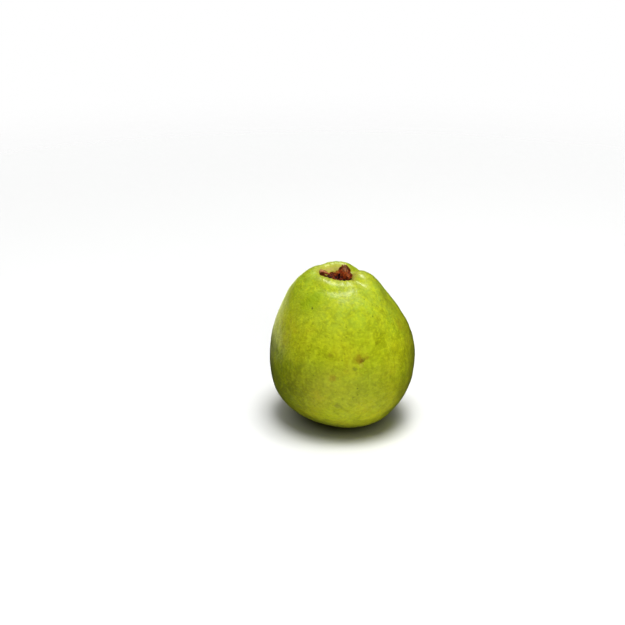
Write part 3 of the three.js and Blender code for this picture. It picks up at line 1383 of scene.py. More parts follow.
    @staticmethod
    def _hollow(tree: ShapeTree, hollow: Hollow, distance: Field, azimuth: Field) -> Field:
        """How deep a point lies in a hollow, from 0 outside to 1 on its floor.

        Args:
            tree: The tree.
            hollow: The hollow.
            distance: The point's distance from the axis.
            azimuth: Its azimuth.

        Returns:
            The depth as a share.
        """
        turned = azimuth - tree.size(f"{hollow.name} Azimuth", math.radians(hollow.long_azimuth))
        ovalness = tree.size(f"{hollow.name} Ovalness", hollow.ovalness)
        oval = ovalness * tree.math("COSINE", turned * 2.0)
        edge = tree.size(f"{hollow.name} Radius", hollow.radius) * (oval + 1.0)
        steep = tree.size(f"{hollow.name} Steepness", hollow.steepness)
        return 1.0 / ((distance / edge) ** steep + 1.0)

    @staticmethod
    def _crease_group() -> ShapeGroup:
        """How deep one crease is at an azimuth.

        Returns:
            The group. Middle and Width are the crease's own azimuth and width in radians.
        """
        inputs = {"Azimuth": 0.0, "Middle": 0.0, "Width": 1.0, "Depth": MM}
        group = ShapeGroup("Crease", "Fold", inputs)
        away = group.turned(group.input("Azimuth"), group.input("Middle")) / group.input("Width")
        group.give(group.input("Depth") * group.bell(away * away))
        return group

    def _creasing(
        self, tree: ShapeTree, crease: ShapeGroup, hollow: Hollow, distance: Field, azimuth: Field
    ) -> Field:
        """How deep the creases round a hollow are.

        Args:
            tree: The tree.
            crease: The group that makes one crease.
            hollow: The hollow.
            distance: The point's distance from the axis.
            azimuth: Its azimuth.

        Returns:
            The depth.
        """
        deepest = tree.size(f"{hollow.name} Crease Distance", hollow.crease_distance)
        away = (distance - deepest) / tree.size(f"{hollow.name} Crease Spread", hollow.crease_spread)
        start = tree.math("MINIMUM", distance / tree.size("Crease Start", self.crease_start), 1.0)
        folds = [
            crease.place(
                tree,
                Azimuth=azimuth,
                Middle=math.radians(fold.azimuth),
                Width=math.radians(fold.width),
                Depth=fold.depth,
            )
            for fold in hollow.creases
        ]
        return sum(folds) * tree.bell(away * away) * start

    @staticmethod
    def _roll_group() -> ShapeGroup:
        """How high one roll stands.

        Returns:
            The group. Middle and Reach are the roll's azimuth and reach in radians.
        """
        inputs = {"Distance": 0.0, "Azimuth": 0.0, "From Axis": MM, "Width": MM}
        inputs |= {"Middle": 0.0, "Reach": 1.0, "Rise": 0.0}
        group = ShapeGroup("Roll", "Height", inputs)
        away = (group.input("Distance") - group.input("From Axis")) / group.input("Width")
        turn = group.turned(group.input("Azimuth"), group.input("Middle")) / group.input("Reach")
        group.give(group.input("Rise") * group.bell(away * away + turn * turn))
        return group

    def _rolls(self, tree: ShapeTree, distance: Field, azimuth: Field) -> Field:
        """How high the rolls on the crown's lip stand.

        Args:
            tree: The tree.
            distance: The point's distance from the axis.
            azimuth: Its azimuth.

        Returns:
            The height.
        """
        group = self._roll_group()
        heights = [
            group.place(
                tree,
                Distance=distance,
                Azimuth=azimuth,
                From_Axis=roll.distance,
                Width=roll.width,
                Middle=math.radians(roll.azimuth),
                Reach=math.radians(roll.reach),
                Rise=roll.rise,
            )
            for roll in self.rolls
        ]
        return sum(heights)

    def _puckers(self, tree: ShapeTree, distance: Field, azimuth: Field) -> Field:
        """Fine radial puckers on the crown's lip, which wander a little.

        Args:
            tree: The tree.
            distance: The point's distance from the axis.
            azimuth: Its azimuth.

        Returns:
            How far the puckers stand out or in.
        """
        count = tree.size("Pucker Count", float(self.pucker_count))
        height = tree.size("Pucker Height", self.pucker_height)
        spread = self.crown.radius * self.pucker_spread
        away = (distance - self.crown.radius * self.pucker_distance) / spread
        place = tree.joined(azimuth, distance * self.wander_length, 0.0)
        stray = tree.noise(place, self.wander_turn, self.wander_seed) * self.wander
        return height * tree.math("COSINE", azimuth * count + stray) * tree.bell(away * away)

    def _placed(self, tree: ShapeTree, way: Field, radius: Field) -> Field:
        """Each point's place: out along its direction, leaned, and flat on the table.

        Args:
            tree: The tree.
            way: Each point's direction.
            radius: Its radius.

        Returns:
            The place.
        """
        x, y, z = tree.parts(tree.scaled(way, radius))
        height = z + tree.size("Heart Height", self.heart_height)
        lean = tree.size("Crown Lean", self.crown_lean)
        axis = lean * (height / tree.size("Fruit Height", self.height) - 0.5)
        return tree.joined(x + axis, y, tree.math("MAXIMUM", height, 0.0))

    def _grained(self, tree: ShapeTree, skin: Field) -> Field:
        """Raises the fine relief along the skin's own normals, and keeps the foot flat.

        Args:
            tree: The tree.
            skin: The bare skin.

        Returns:
            The skin with its relief.
        """
        place = tree.out(tree.node("GeometryNodeInputPosition"))
        normal = tree.out(tree.node("GeometryNodeInputNormal"))
        _, _, height = tree.parts(place)
        lift = sum(self._bumpy(tree, place, bumps) for bumps in self.relief)
        lift = lift * tree.smooth(height, *self.level_band)
        raised = {"Geometry": skin, "Offset": tree.scaled(normal, lift)}
        skin = tree.shape("GeometryNodeSetPosition", raised)
        x, y, z = tree.parts(tree.out(tree.node("GeometryNodeInputPosition")))
        flat = tree.joined(x, y, tree.math("MAXIMUM", z, 0.0))
        return tree.shape("GeometryNodeSetPosition", {"Geometry": skin, "Position": flat})

    @staticmethod
    def _bumpy(tree: ShapeTree, place: Field, bumps: Bumps) -> Field:
        """How far the relief of one size stands out or in.

        Args:
            tree: The tree.
            place: Each point's place.
            bumps: The relief.

        Returns:
            The height.
        """
        size = tree.size(f"{bumps.name} Size", bumps.size)
        seed = tree.size(f"{bumps.name} Seed", bumps.seed)
        grain = tree.noise(place, size, seed, bumps.detail)
        return (grain - 0.5) * tree.size(f"{bumps.name} Height", bumps.height)

    def _settle(self, skin: bpy.types.Object) -> None:
        """Moves the skin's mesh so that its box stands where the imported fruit's does.

        Args:
            skin: The skin, about the fruit's own axis.
        """
        low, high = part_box("fruit")
        points = np.empty(len(skin.data.vertices) * 3)
        skin.data.vertices.foreach_get("co", points)
        points = points.reshape(-1, 3)
        x, y, _ = (points.min(0) + points.max(0)) / 2
        self.shift = Vector(((low.x + high.x) / 2 - x, (low.y + high.y) / 2 - y, 0.0))
        skin.data.transform(Matrix.Translation(self.shift))


# ---- The calyx ----


@dataclass(frozen=True)
class Sepal:
    """One sepal: it stands along the hollow's wall, folds round an arc, then lies inwards.

    Attributes:
        width: How wide it is at its root.
        rise: How steeply it stands.
        stand: How far it goes before the fold.
        fold: How far round it folds.
        bend: The radius of the fold.
        lie: How far it goes after the fold.
        twist: How far its tip is turned about its length.
        taper: How late it narrows.
        fading: How much its tip is faded.
    """

    azimuth: float
    width: float
    rise: float
    stand: float
    fold: float
    bend: float
    lie: float
    twist: float
    taper: float = 2.4
    fading: float = 0.0

    @property
    def length(self) -> float:
        """The sepal's length along its middle."""
        return self.stand + self.bend * math.radians(self.fold) + self.lie

    def spine(self, along: float) -> tuple[float, float, float]:
        """The way outwards and upwards, and the slope.

        Args:
            along: From 0 at the root to 1 at the tip.

        Returns:
            How far out, how far up, and the slope in radians.
        """
        start, arc = math.radians(self.rise), self.bend * math.radians(self.fold)
        gone = along * self.length
        stood = min(gone, self.stand)
        slope = start + min(max(gone - self.stand, 0.0), arc) / self.bend
        lain = max(gone - self.stand - arc, 0.0)
        out = stood * math.cos(start) + self.bend * (math.sin(slope) - math.sin(start))
        up = stood * math.sin(start) + self.bend * (math.cos(start) - math.cos(slope))
        return out + lain * math.cos(slope), up + lain * math.sin(slope), slope


@dataclass(frozen=True)
class Tuft:
    """Stamens that stand together, from azimuth start to end and radius inner to outer."""

    name: str
    count: int
    start: float
    end: float
    inner: float
    outer: float
    lean: float
    tallness: float
    seed: int


@dataclass
class Calyx:
    """The dried calyx: a disc with a raised rim, five folded sepals, a style and stamens.

    Attributes:
        height: How high the middle of the disc's face is.
        slide: How far it is from the fruit's axis along X and Y.
        disc: The disc's outline as radius and height in mm, from below to the middle of its face.
        wrinkles: Its roughness, in lumps to the mm and mm of height.
        wrinkle_spread: The share of that height by which they go outwards too.
        root_radius: How far from the middle a sepal starts, and root_drop how far down.
        tear: How deep the torn tips are, as a share of a sepal's length.
        tears: The line of the tears, with tear_count as its unit across half a width.
        tip_share: How wide a tip is, as a share of its sepal's width.
        frays: The line of the side edges, with fray_count as its unit across half a width.
        creases: How crumpled a blade is, in lumps to the mm and mm of height.
        veins: How far a wave turns across half a width, in radians, vein_rise mm high.
        vein_wander: How far that wave strays.
        cup: How far the edges curl in, as a share of half the width.
        ripple: How far a blade waves in and out.
        waves: How far that wave turns across half a blade and along it, in radians.
        root_crumple: The share of the crumpling that there is at the root already.
        blunt: How far before its tip a sepal starts to thin, as a share of its length.
        style_taper: How much thinner the style is at its tip.
        style_rib: How high its ribs are, as a share of its radius.
        style_lean: How far its tip leans along X.
        style_root: How far it starts inside the disc.
        style_ends: How sharply it closes at its root and at its tip.
        thread: A stamen's radius at its root and at its tip.
        thread_mesh: How many sides a stamen has, and how many faces along.
        head: The radius of a stamen's shrunken head.
        hook: How far a stamen's tip bends over.
        tallness: The sizes that a stamen may have, times its tuft's own tallness.
    """

    height: float = 76.5 * MM
    slide: tuple[float, float] = (0.2 * MM, -0.6 * MM)
    disc: tuple[tuple[float, float], ...] = (
        (0.0, -1.3),
        (5.2, -1.3),
        (6.6, -0.6),
        (6.5, 0.2),
        (5.5, 0.6),
        (4.4, 0.1),
        (2.2, -0.2),
        (0.0, 0.0),
    )
    disc_mesh: tuple[int, int] = (56, 96)
    wrinkles: tuple[Lumps, ...] = (Lumps(0.9, 0.35), Lumps(2.6, 0.15))
    wrinkle_spread: float = 0.5
    sepals: tuple[Sepal, ...] = (
        Sepal(-16, 5.6 * MM, 58, 1.6 * MM, 100, 1.0 * MM, 1.8 * MM, 14),
        Sepal(58, 8.2 * MM, 66, 3.8 * MM, 40, 1.4 * MM, 1.4 * MM, -14, 1.4, 0.6),
        Sepal(124, 5.0 * MM, 48, 1.2 * MM, 30, 1.0 * MM, 0.6 * MM, 12),
        Sepal(184, 5.2 * MM, 46, 5.2 * MM, 160, 0.7 * MM, 5.0 * MM, 8, 2.4, 0.75),
        Sepal(246, 6.2 * MM, 50, 0.8 * MM, 70, 0.9 * MM, 1.2 * MM, 6),
    )
    sepal_mesh: tuple[int, int] = (84, 40)
    root_radius: float = 5.3 * MM
    root_drop: float = 0.5 * MM
    root_thickness: float = 0.75 * MM
    tip_thickness: float = 0.32 * MM
    tear: float = 0.16
    tear_count: float = 2.2
    tears: tuple[Lumps, ...] = (Lumps(1.0, 1.0), Lumps(2.7, 0.6))
    tip_share: float = 0.28
    fray_count: float = 2.0
    frays: tuple[Lumps, ...] = (Lumps(0.9, 0.3), Lumps(2.3, 0.2))
    creases: tuple[Lumps, ...] = (Lumps(0.42, 0.45), Lumps(1.1, 0.26), Lumps(2.8, 0.10))
    veins: float = 15.0
    vein_rise: float = 0.07
    vein_wander: tuple[Lumps, ...] = (Lumps(0.8, 2.0),)
    cup: float = 0.1
    ripple: float = 0.3 * MM
    waves: tuple[float, float] = (5.0, 3.0)
    root_crumple: float = 0.35
    blunt: float = 1 / 7
    style_length: float = 3.2 * MM
    style_radius: float = 0.7 * MM
    style_taper: float = 0.25 * MM
    style_ribs: int = 5
    style_rib: float = 0.14
    style_lean: float = 0.8 * MM
    style_root: float = 0.5 * MM
    style_ends: tuple[float, float] = (30.0, 12.0)
    style_mesh: tuple[int, int] = (24, 20)
    stamen_length: float = 2.6 * MM
    thread: tuple[float, float] = (0.1 * MM, 0.05 * MM)
    thread_mesh: tuple[int, int] = (5, 5)
    head: float = 0.17 * MM
    head_shape: Point = (1.0, 0.7, 1.7)
    hook: float = 0.8 * MM
    tallness: tuple[float, float] = (0.6, 1.1)
    tufts: tuple[Tuft, ...] = (
        Tuft("Ring", 70, 0.0, 360.0, 2.0 * MM, 5.4 * MM, 52.0, 0.75, 10),
        Tuft("Tuft", 120, -30.0, 70.0, 2.4 * MM, 5.4 * MM, 38.0, 1.15, 20),
        Tuft("Back", 60, 70.0, 115.0, 2.4 * MM, 4.8 * MM, 30.0, 0.95, 30),
    )

    def middle(self, fruit: Fruit) -> Vector:
        """The middle of the disc's face."""
        x, y = self.slide
        return Vector((fruit.axis_at(self.height) + x, y, self.height)) + fruit.shift

    def build_sepals(self, middle: Vector, finish: bpy.types.Material) -> bpy.types.Object:
        """Makes the five sepals as one piece.

        Args:
            middle: The middle of the calyx.
            finish: Their material.

        Returns:
            The piece.
        """
        sheet = Sheet()
        for sepal in self.sepals:
            for side in (-0.5, 0.5):
                at = partial(self._sepal_point, sepal, middle, side)
                sheet.grid(*self.sepal_mesh, at, sepal.fading)
        return sheet.piece("sepals", finish)

    def _sepal_point(
        self, sepal: Sepal, middle: Vector, side: float, along: float, share: float
    ) -> Vector:
        """A point on a sepal.

        Args:
            sepal: The sepal.
            middle: The middle of the calyx.
            side: -0.5 on the outer face and 0.5 on the inner one.
            along: From 0 at the root to 1 at the tip.
            share: From 0 at one edge to 1 at the other.

        Returns:
            The point.
        """
        across = 2 * share - 1
        outward, sideways = outwards(sepal.azimuth), outwards(sepal.azimuth - 90)
        edge = Vector((sepal.azimuth, self.tear_count * across, 0.0))
        reached = along * (1 - self.tear * along * (0.5 + lumpy(edge, self.tears)))
        out, up, slope = sepal.spine(reached)
        half = sepal.width / 2 * math.sqrt(1 - (1 - self.tip_share**2) * along**sepal.taper)
        run = Vector((sepal.azimuth, across * half / MM, reached * sepal.length / MM))
        frayed = Vector((sepal.azimuth, self.fray_count * across, run.z))
        half *= 1 + along * lumpy(frayed, self.frays)
        twist = math.radians(sepal.twist * along)
        inner = self._crumpled(sepal, run, side, along, across)
        inner += half * (self.cup * across * across + across * math.sin(twist))
        point = middle + outward * (self.root_radius + out - inner * math.sin(slope))
        point += sideways * (across * half * math.cos(twist))
        return point + Vector((0, 0, up - self.root_drop + inner * math.cos(slope)))

    def _crumpled(
        self, sepal: Sepal, run: Vector, side: float, along: float, across: float
    ) -> float:
        """How far in a point of a sepal's face is from the sepal's flat middle.

        Args:
            sepal: The sepal.
            run: Where the point is on the sepal laid flat, in mm.
            side: -0.5 on the outer face and 0.5 on the inner one.
            along: From 0 at the root to 1 at the tip.
            across: From -1 at one edge to 1 at the other.

        Returns:
            The distance, from half the thickness, a slow wave, the creases and the veins.
        """
        thick = self.root_thickness + (self.tip_thickness - self.root_thickness) * along
        lens = math.sqrt(max(0.0, (1 - across**4) * min(1.0, (1 - along) / self.blunt)))
        wide, long = self.waves
        wave = math.sin(wide * across + long * along + math.radians(sepal.azimuth))
        veins = self.vein_rise * math.cos(across * self.veins + lumpy(run, self.vein_wander))
        creased = (lumpy(run, self.creases) + veins) * MM * min(1.0, self.root_crumple + along)
        return side * thick * lens + self.ripple * along * wave + creased

    def build_disc(self, middle: Vector, finish: bpy.types.Material) -> bpy.types.Object:
        """Makes the disc and the stub of the style as one piece.

        Args:
            middle: The middle of the calyx.
            finish: Their material.

        Returns:
            The piece.
        """
        sheet = Sheet()
        sheet.grid(*self.disc_mesh, partial(self._disc_point, middle))
        sheet.grid(*self.style_mesh, partial(self._style_point, middle))
        return sheet.piece("calyx_disc", finish)

    def _disc_point(self, middle: Vector, along: float, turn: float) -> Vector:
        """A point on the wrinkled disc.

        Args:
            middle: The middle of the calyx.
            along: From 0 under the disc to 1 in the middle of its face.
            turn: The share of a turn round it.

        Returns:
            The point.
        """
        shares = np.linspace(0.0, 1.0, len(self.disc))
        radius, height = (float(np.interp(along, shares, line)) for line in zip(*self.disc))
        way = outwards(360 * turn)
        swell = lumpy(way * radius + Vector((0, 0, height)), self.wrinkles) * min(1.0, radius)
        out = way * (radius + swell * self.wrinkle_spread)
        return middle + (out + Vector((0, 0, height + swell))) * MM

    def _style_point(self, middle: Vector, along: float, turn: float) -> Vector:
        """A point on the style, which is shrunken and leans.

        Args:
            middle: The middle of the calyx.
            along: From 0 at its root to 1 at its tip.
            turn: The share of a turn round it.

        Returns:
            The point.
        """
        root, tip = self.style_ends
        ends = math.sqrt(max(0.0, min(1.0, along * root, (1 - along) * tip)))
        ribs = 1 + self.style_rib * math.cos(math.tau * self.style_ribs * turn)
        radius = (self.style_radius - self.style_taper * along) * ends * ribs
        rise = self.style_length * along - self.style_root
        lean = self.style_lean * along * along
        return middle + outwards(360 * turn) * radius + Vector((lean, 0, rise))

    def build_stamens(self, middle: Vector, finish: bpy.types.Material) -> bpy.types.Object:
        """Scatters the dried stamens over the disc.

        Args:
            middle: The middle of the calyx.
            finish: Their material.

        Returns:
            The piece.
        """
        tree = ShapeTree("Stamens")
        stamen = self._stamen(tree)
        centre = tree.size("Middle", tuple(middle))
        stood = [self._stood(tree, tuft, stamen, centre) for tuft in self.tufts]
        return tree.grown("stamens", tree.together(stood), finish)

    def _stamen(self, tree: ShapeTree) -> Field:
        """One stamen: a thread that bends over, with a shrunken head.

        Args:
            tree: The tree.

        Returns:
            The stamen, standing at the origin.
        """
        length = tree.size("Stamen Length", self.stamen_length)
        root, tip = self.thread
        sides, rows = self.thread_mesh
        thread = tree.shape(
            "GeometryNodeMeshCone",
            {
                "Vertices": tree.size("Thread Sides", sides),
                "Side Segments": tree.size("Thread Rows", rows),
                "Radius Top": tree.size("Thread Tip", tip),
                "Radius Bottom": tree.size("Thread Root", root),
                "Depth": length,
            },
        )
        x, y, z = tree.parts(tree.out(tree.node("GeometryNodeInputPosition")))
        bend = tree.size("Stamen Bend", self.hook)
        hooked = tree.joined(x + bend * (z / length) ** 2.0, y, z)
        thread = tree.shape("GeometryNodeSetPosition", {"Geometry": thread, "Position": hooked})
        ball = {"Radius": tree.size("Head Radius", self.head), "Subdivisions": 1}
        head = tree.shape("GeometryNodeMeshIcoSphere", ball)
        placed = {"Translation": tree.joined(bend, 0.0, length), "Scale": self.head_shape}
        head = tree.shape("GeometryNodeTransform", {"Geometry": head, **placed})
        return tree.together([thread, head])

    def _stood(self, tree: ShapeTree, tuft: Tuft, stamen: Field, centre: Field) -> Field:
        """Stands the stamens of one tuft on the disc.

        Args:
            tree: The Geometry Nodes tree.
            tuft: The tuft.
            stamen: One stamen.
            centre: The middle of the calyx.

        Returns:
            The tuft's stamens.
        """

        def draw(low: float, high: float, seed: int) -> Field:
            """A number of its own for each stamen, between two others."""
            return self._random(tree, low, high, tuft.seed + seed)

        turn = draw(math.radians(tuft.start), math.radians(tuft.end), 1)
        radius = draw(tuft.inner, tuft.outer, 2)
        x, y = (radius * tree.math(wave, turn) for wave in ("COSINE", "SINE"))
        spot = tree.vector("ADD", tree.joined(x, y, 0.0), centre)
        count = tree.size(f"{tuft.name} Count", tuft.count)
        points = tree.shape("GeometryNodePoints", {"Count": count, "Position": spot})
        lean = math.radians(tuft.lean)
        tilt = tree.joined(draw(-lean, lean, 3), draw(-lean, lean, 4), turn)
        size = draw(*(share * tuft.tallness for share in self.tallness), 5)
        inputs = {"Points": points, "Instance": stamen, "Rotation": tilt, "Scale": size}
        return tree.shape("GeometryNodeInstanceOnPoints", inputs)

    @staticmethod
    def _random(tree: ShapeTree, low: float, high: float, seed: int) -> Field:
        """A random number for each stamen.

        Args:
            tree: The tree.
            low: The least that it may be.
            high: The most.
            seed: Which of many draws it is.

        Returns:
            The number.
        """
        made = tree.node("FunctionNodeRandomValue", data_type="FLOAT")
        sockets = [s for s in made.inputs if s.enabled]
        for socket, value in zip(sockets, (low, high)):
            socket.default_value = value
        made.inputs["Seed"].default_value = seed
        return Field(tree, next(s for s in made.outputs if s.enabled))


# ---- The stem ----


@dataclass(frozen=True)
class Bark:
    """Roughness round a stem: how many lumps across, how many along, and how high they are."""

    across: float
    along: float
    height: float


@dataclass
class Stem:
    """The dry stub of the stem, which ends inside the funnel, clear of the table.

    Attributes:
        radius: The radius at the cut end.
        foot_radius: The radius where it grows from the fruit.
        tip_height: How high above the table the cut end is.
        bend: How far the cut end is bent over, towards bend_azimuth.
        flare: How late it widens towards the fruit.
        ridge_twist: How far round its ridges turn, in radians of their wave.
        cut_share: The share of its outline that is the cut face.
        foot_share: The share of its outline that closes it inside the fruit.
        cut_sink: How far in the middle of the cut face is.
        cut_fade: How far up the cut's own roughness reaches, as a share of the length.
        rim: How far to either side of its edge the cut is rounded, as a share of the outline.
        rim_wear: How much is worn away at that edge.
        fibres: How finely the cut face is fibrous, fibre_rise high.
    """

    radius: float = 1.6 * MM
    foot_radius: float = 2.4 * MM
    length: float = 7.2 * MM
    tip_height: float = 1.9 * MM
    bend: float = 1.1 * MM
    bend_azimuth: float = 150.0
    flare: float = 3.0
    ridges: int = 7
    ridge_rise: float = 0.14 * MM
    ridge_twist: float = 2.5
    cut_share: float = 0.22
    foot_share: float = 0.08
    cut_sink: float = 0.35 * MM
    cut_fade: float = 0.125
    rim: float = 0.035
    rim_wear: float = 0.12 * MM
    fibres: float = 5.0
    fibre_rise: float = 0.12 * MM
    bark: tuple[Bark, ...] = (Bark(2.2, 7.0, 0.16 * MM), Bark(6.0, 3.0, 0.08 * MM))
    mesh: tuple[int, int] = (72, 72)

    def build(self, fruit: Fruit, finish: bpy.types.Material) -> bpy.types.Object:
        """Makes the stem of a fruit as one piece, with a finish."""
        sheet = Sheet()
        sheet.grid(*self.mesh, partial(self._point, fruit))
        return sheet.piece("stem_stub", finish)

    def _point(self, fruit: Fruit, along: float, turn: float) -> Vector:
        """A point on the stem.

        Args:
            fruit: The fruit that it grows from.
            along: From 0 in the middle of its cut end to 1 in the middle of its foot.
            turn: The share of a turn round it.

        Returns:
            The point.
        """
        inward = min(1.0, along / self.cut_share)
        side = 1.0 - self.foot_share - self.cut_share
        up = min(1.0, max(0.0, (along - self.cut_share) / side))
        closing = min(1.0, (1.0 - along) / self.foot_share)
        way = outwards(360 * turn)
        radius = self.radius + (self.foot_radius - self.radius) * up**self.flare
        radius += self.ridge_rise * math.cos(self.ridges * math.tau * turn + self.ridge_twist * up)
        for bark in self.bark:
            spot = Vector((way.x * bark.across, way.y * bark.across, up * bark.along))
            radius += noise.noise(spot) * bark.height
        worn = max(0.0, 1.0 - abs(along - self.cut_share) / self.rim) * self.rim_wear
        radius = (radius * closing - worn) * inward
        fibres = noise.noise(way * (inward * self.fibres)) * self.fibre_rise
        sink = self.cut_sink * (1.0 - inward**2) + fibres
        sink *= 1.0 - min(1.0, up / self.cut_fade)
        height = self.tip_height + self.length * up + sink
        bent = outwards(self.bend_azimuth) * (self.bend * (1 - up) ** 2)
        return Vector((fruit.axis_at(height), 0, height)) + bent + way * radius + fruit.shift


# ---- The studio ----


@dataclass(frozen=True)
class Softbox:
    """A soft rectangular light.

    Attributes:
        aim: The point that it faces.
        power: Its power in watts.
        shines: Whether it shows in glossy surfaces.
        lights: Whether it lights dull ones.
    """

    name: str
    place: Point
    aim: Point
    width: float
    length: float
    power: float
    shines: bool = True
    lights: bool = True

    def build(self) -> None:
        """Hangs the light, facing what it is aimed at."""
        lamp = bpy.data.lights.new(self.name, "AREA")
        lamp.shape = "RECTANGLE"
        lamp.size = self.width
        lamp.size_y = self.length
        lamp.energy = self.power
        light = bpy.data.objects.new(self.name, lamp)
        light.location = self.place
        light.visible_glossy = self.shines
        light.visible_diffuse = self.lights
        way = Vector(self.aim) - Vector(self.place)
        light.rotation_euler = way.to_track_quat("-Z", "Y").to_euler()
        bpy.context.scene.collection.objects.link(light)


@dataclass
class Studio:
    """A pale table in a white room, soft light from above, and the camera.

    The table fades into the room, and can be looked through from below.

    Attributes:
        floor_drop: How far the table is below the fruit's foot.
        floor_tint: The table's colour in the light that it throws back on dull surfaces.
        floor_side: The same, further than side_reach to either side and behind side_front.
        floor_shown: Its colour to the camera.
        painted_contact_shadow: A painted shadow, the table's colour to the camera right under the
            fruit, nearer than foot_reach.
        floor_fade: How far out the table fades away.
        glow: How bright the table shines in the skin's gloss, in glow_tint.
        glow_beyond: How far out it starts to do so, on the left.
        glow_behind: How far back it starts to do so.
        room: How bright the room is to the camera.
        fill: How bright it is as a light.
        aim: The point that the camera is turned towards before it slides.
        slide: How far it slides to its right and upwards, still looking the same way.
    """

    floor_size: float = 5.0
    floor_drop: float = 0.1 * MM
    floor_tint: Rgb = (0.74, 0.75, 0.745)
    floor_side: Rgb = (0.1, 0.1, 0.08)
    side_reach: Band = (25 * MM, 70 * MM)
    side_front: Band = (-110 * MM, -50 * MM)
    floor_shown: Rgb = (0.83, 0.835, 0.83)
    # Painted shadow: the table's colour to the camera right under the fruit.
    painted_contact_shadow: Rgb = (0.02, 0.021, 0.012)
    foot_reach: Band = (40 * MM, 14 * MM)
    floor_fade: Band = (250 * MM, 800 * MM)
    floor_rough: float = 0.9
    glow: float = 2.8
    glow_tint: Rgb = (0.95, 1.0, 0.4)
    glow_beyond: Band = (140 * MM, 220 * MM)
    glow_behind: Band = (0.0, 50 * MM)
    room: float = 1.0
    fill: float = 0.09
    lens: float = 70.0
    sensor: float = 36.0
    pitch: float = 22.5
    distance: float = 621 * MM
    aim: Point = (0.0, 0.0, 40 * MM)
    slide: tuple[float, float] = (-15.33 * MM, 16.35 * MM)
    lights: tuple[Softbox, ...] = (
        Softbox("overhead", (0.16, -0.2, 2.0), (0.0, 0.0, 0.04), 1.1, 0.9, 45.5, shines=False),
        Softbox("sheen", (0.1, 0.4, 2.0), (0.0, 0.0, 0.04), 0.8, 0.8, 36.0, lights=False),
        Softbox("strip", (0.0, 0.8, 1.95), (0.0, 0.0, 0.08), 0.9, 0.1, 8.0, lights=False),
        Softbox("front", (0.45, -1.3, 0.45), (0.0, 0.0, 0.04), 0.9, 0.6, 7.5, shines=False),
        Softbox("window", (-1.3, 0.5, 0.7), (0.0, 0.0, 0.04), 0.6, 0.6, 1.8, shines=False),
        Softbox("backdrop", (0.0, 1.9, 1.6), (0.0, 1.9, 0.0), 2.6, 1.2, 8.0),
        Softbox("glow", (0.0, -0.1, -0.6), (0.0, 0.0, 0.0), 0.6, 0.6, 0.6),
    )

    def build(self) -> None:
        """Builds the studio round the object."""
        self._floor()
        self._world()
        for light in self.lights:
            light.build()
        self._camera()
        bpy.context.scene.view_settings.view_transform = "Standard"

    def _floor(self) -> None:
        """Lays the table. It casts no shadow, so that the glow below it reaches the foot."""
        half = self.floor_size / 2
        corners = [(-half, -half), (half, -half), (half, half), (-half, half)]
        mesh = bpy.data.meshes.new("floor")
        mesh.from_pydata([(x, y, -self.floor_drop) for x, y in corners], [], [(0, 1, 2, 3)])
        mesh.materials.append(self._floor_finish())
        floor = bpy.data.objects.new("floor", mesh)
        floor.visible_shadow = False
        bpy.context.scene.collection.objects.link(floor)

    def _floor_finish(self) -> bpy.types.Material:
        """Makes the table's material.

        Returns:
            The material.
        """
        material = bpy.data.materials.new("floor")
        material.use_nodes = True
        graph = Graph(material.node_tree)
        shader = graph.tree.nodes["Principled BSDF"]
        place = graph.out(graph.node("ShaderNodeTexCoord"), "Object")
        away = graph.vector("LENGTH", place, output="Value")
        path = graph.node("ShaderNodeLightPath")
        mirrored, seen = graph.out(path, "Is Glossy Ray"), graph.out(path, "Is Camera Ray")
        thrown = graph.mix(mirrored, self._thrown(graph, place), (0.0, 0.0, 0.0))
        # Painted contact shadow: the table is shown near black right under the fruit.
        shown = graph.mix(graph.smooth(away, *self.foot_reach), self.floor_shown, self.painted_contact_shadow)
        graph.feed(shader.inputs["Base Color"], graph.mix(seen, thrown, shown))
        graph.feed(shader.inputs["Roughness"], self.floor_rough)
        graph.feed(shader.inputs["Emission Color"], (*self.glow_tint, 1.0))
        glow = self._glowing(graph, place, away) * mirrored
        graph.feed(shader.inputs["Emission Strength"], glow * self.glow)
        below = graph.out(graph.node("ShaderNodeNewGeometry"), "Backfacing")
        gone = graph.math("MAXIMUM", below, graph.smooth(away, *self.floor_fade))
        clear = graph.out(graph.node("ShaderNodeBsdfTransparent"))
        faded = graph.node("ShaderNodeMixShader", {0: gone, 1: graph.out(shader), 2: clear})
        graph.feed(graph.tree.nodes["Material Output"].inputs["Surface"], graph.out(faded))
        return material

    def _thrown(self, graph: Graph, place: Field) -> Field:
        """The table's colour in the light that it throws back.

        Args:
            graph: The table's material.
            place: Each point's place on it.

        Returns:
            The colour.
        """
        x, y, _ = graph.parts(place)
        beside = graph.smooth(graph.math("ABSOLUTE", x), *self.side_reach)
        beside = beside * graph.smooth(y, *self.side_front)
        return graph.mix(beside, self.floor_tint, self.floor_side)

    def _glowing(self, graph: Graph, place: Field, away: Field) -> Field:
        """Where the table is bright in the skin's gloss.

        Args:
            graph: The table's material.
            place: Each point's place on it.
            away: How far that is from the fruit.

        Returns:
            The mask, from 0 to 1.
        """
        x, y, _ = graph.parts(place)
        far = graph.smooth(away, *self.glow_beyond) * graph.smooth(y, *self.glow_behind)
        return far * graph.math("LESS_THAN", x, 0.0)

    def _world(self) -> None:
        """Surrounds the object with a white room that lights it only a little."""
        world = bpy.data.worlds.new("white room")
        world.use_nodes = True
        graph = Graph(world.node_tree)
        background = graph.tree.nodes["Background"]
        graph.feed(background.inputs["Color"], (1.0, 1.0, 1.0, 1.0))
        path = graph.node("ShaderNodeLightPath")
        strength = graph.blend(graph.out(path, "Is Glossy Ray"), self.fill, 0.0)
        strength = graph.blend(graph.out(path, "Is Camera Ray"), strength, self.room)
        graph.feed(background.inputs["Strength"], strength)
        bpy.context.scene.world = world

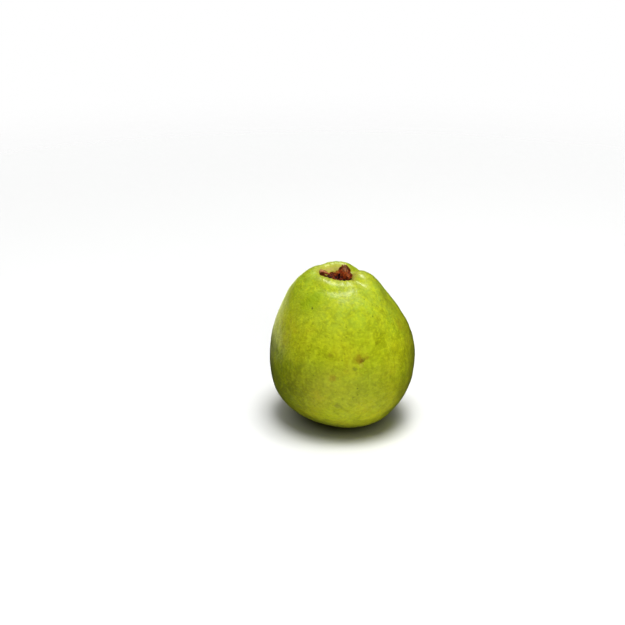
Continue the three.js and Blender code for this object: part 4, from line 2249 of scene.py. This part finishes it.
    def _camera(self) -> None:
        """Places the camera, looking level along +Y and then down by the pitch."""
        data = bpy.data.cameras.new("camera")
        data.lens, data.sensor_width = self.lens, self.sensor
        camera = bpy.data.objects.new("camera", data)
        down = math.radians(self.pitch)
        forward = Vector((0, math.cos(down), -math.sin(down)))
        upward = Vector((0, math.sin(down), math.cos(down)))
        right, rise = self.slide
        place = Vector(self.aim) - forward * self.distance + Vector((right, 0, 0)) + upward * rise
        camera.location = place
        camera.rotation_euler = (math.pi / 2 - down, 0, 0)
        bpy.context.scene.collection.objects.link(camera)
        bpy.context.scene.camera = camera


# ---- Putting it together ----


class Part(Enum):
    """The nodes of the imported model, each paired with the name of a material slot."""

    FRUIT = ("fruit", "skin")
    CALYX = ("calyx", "calyx")
    STEM = ("stem", "stem")

    def stands_for(self, piece: bpy.types.Object) -> None:
        """Puts a finished piece in the node's place, riding with the object.

        Args:
            piece: The piece.
        """
        node, slot = self.value
        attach(piece, "root")
        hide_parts(node)
        LOG.info("%s: %d faces, for %s", piece.name, len(piece.data.polygons), node)


def main() -> None:
    """Builds the guava and its studio."""
    logging.basicConfig(level=logging.INFO, format="%(name)s: %(message)s")
    effects = Effects()
    fruit, calyx, stem = Fruit(), Calyx(), Stem()
    skin_paint = Finish("guava_skin", effects)
    skin = fruit.build(skin_paint.material)
    SkinFinish().paint(skin_paint, fruit)
    Part.FRUIT.stands_for(skin)

    middle = calyx.middle(fruit)
    sepal_finish = BladeFinish("dried_sepals", "4c150c", "8e3c18", "b26632")
    # Near black: partly the dried disc's own dark purple-brown and partly painted shade for the deep
    # cup it sits in.
    disc_dark_and_shade_finish = DryFinish("calyx_floor", "19070a", "300e10", "4e1c14")
    thread_finish = DryFinish("dried_stamens", "7c240c", "bc5220", "dc9046", 0.9 * MM)
    Part.CALYX.stands_for(calyx.build_sepals(middle, sepal_finish.material(effects)))
    Part.CALYX.stands_for(calyx.build_disc(middle, disc_dark_and_shade_finish.material(effects)))
    Part.CALYX.stands_for(calyx.build_stamens(middle, thread_finish.material(effects)))

    bark = DryFinish("stem_bark", "1c130c", "33251a", "4f3d2b", 0.8 * MM)
    Part.STEM.stands_for(stem.build(fruit, bark.material(effects)))

    Studio().build()


if __name__ == "__main__":
    main()
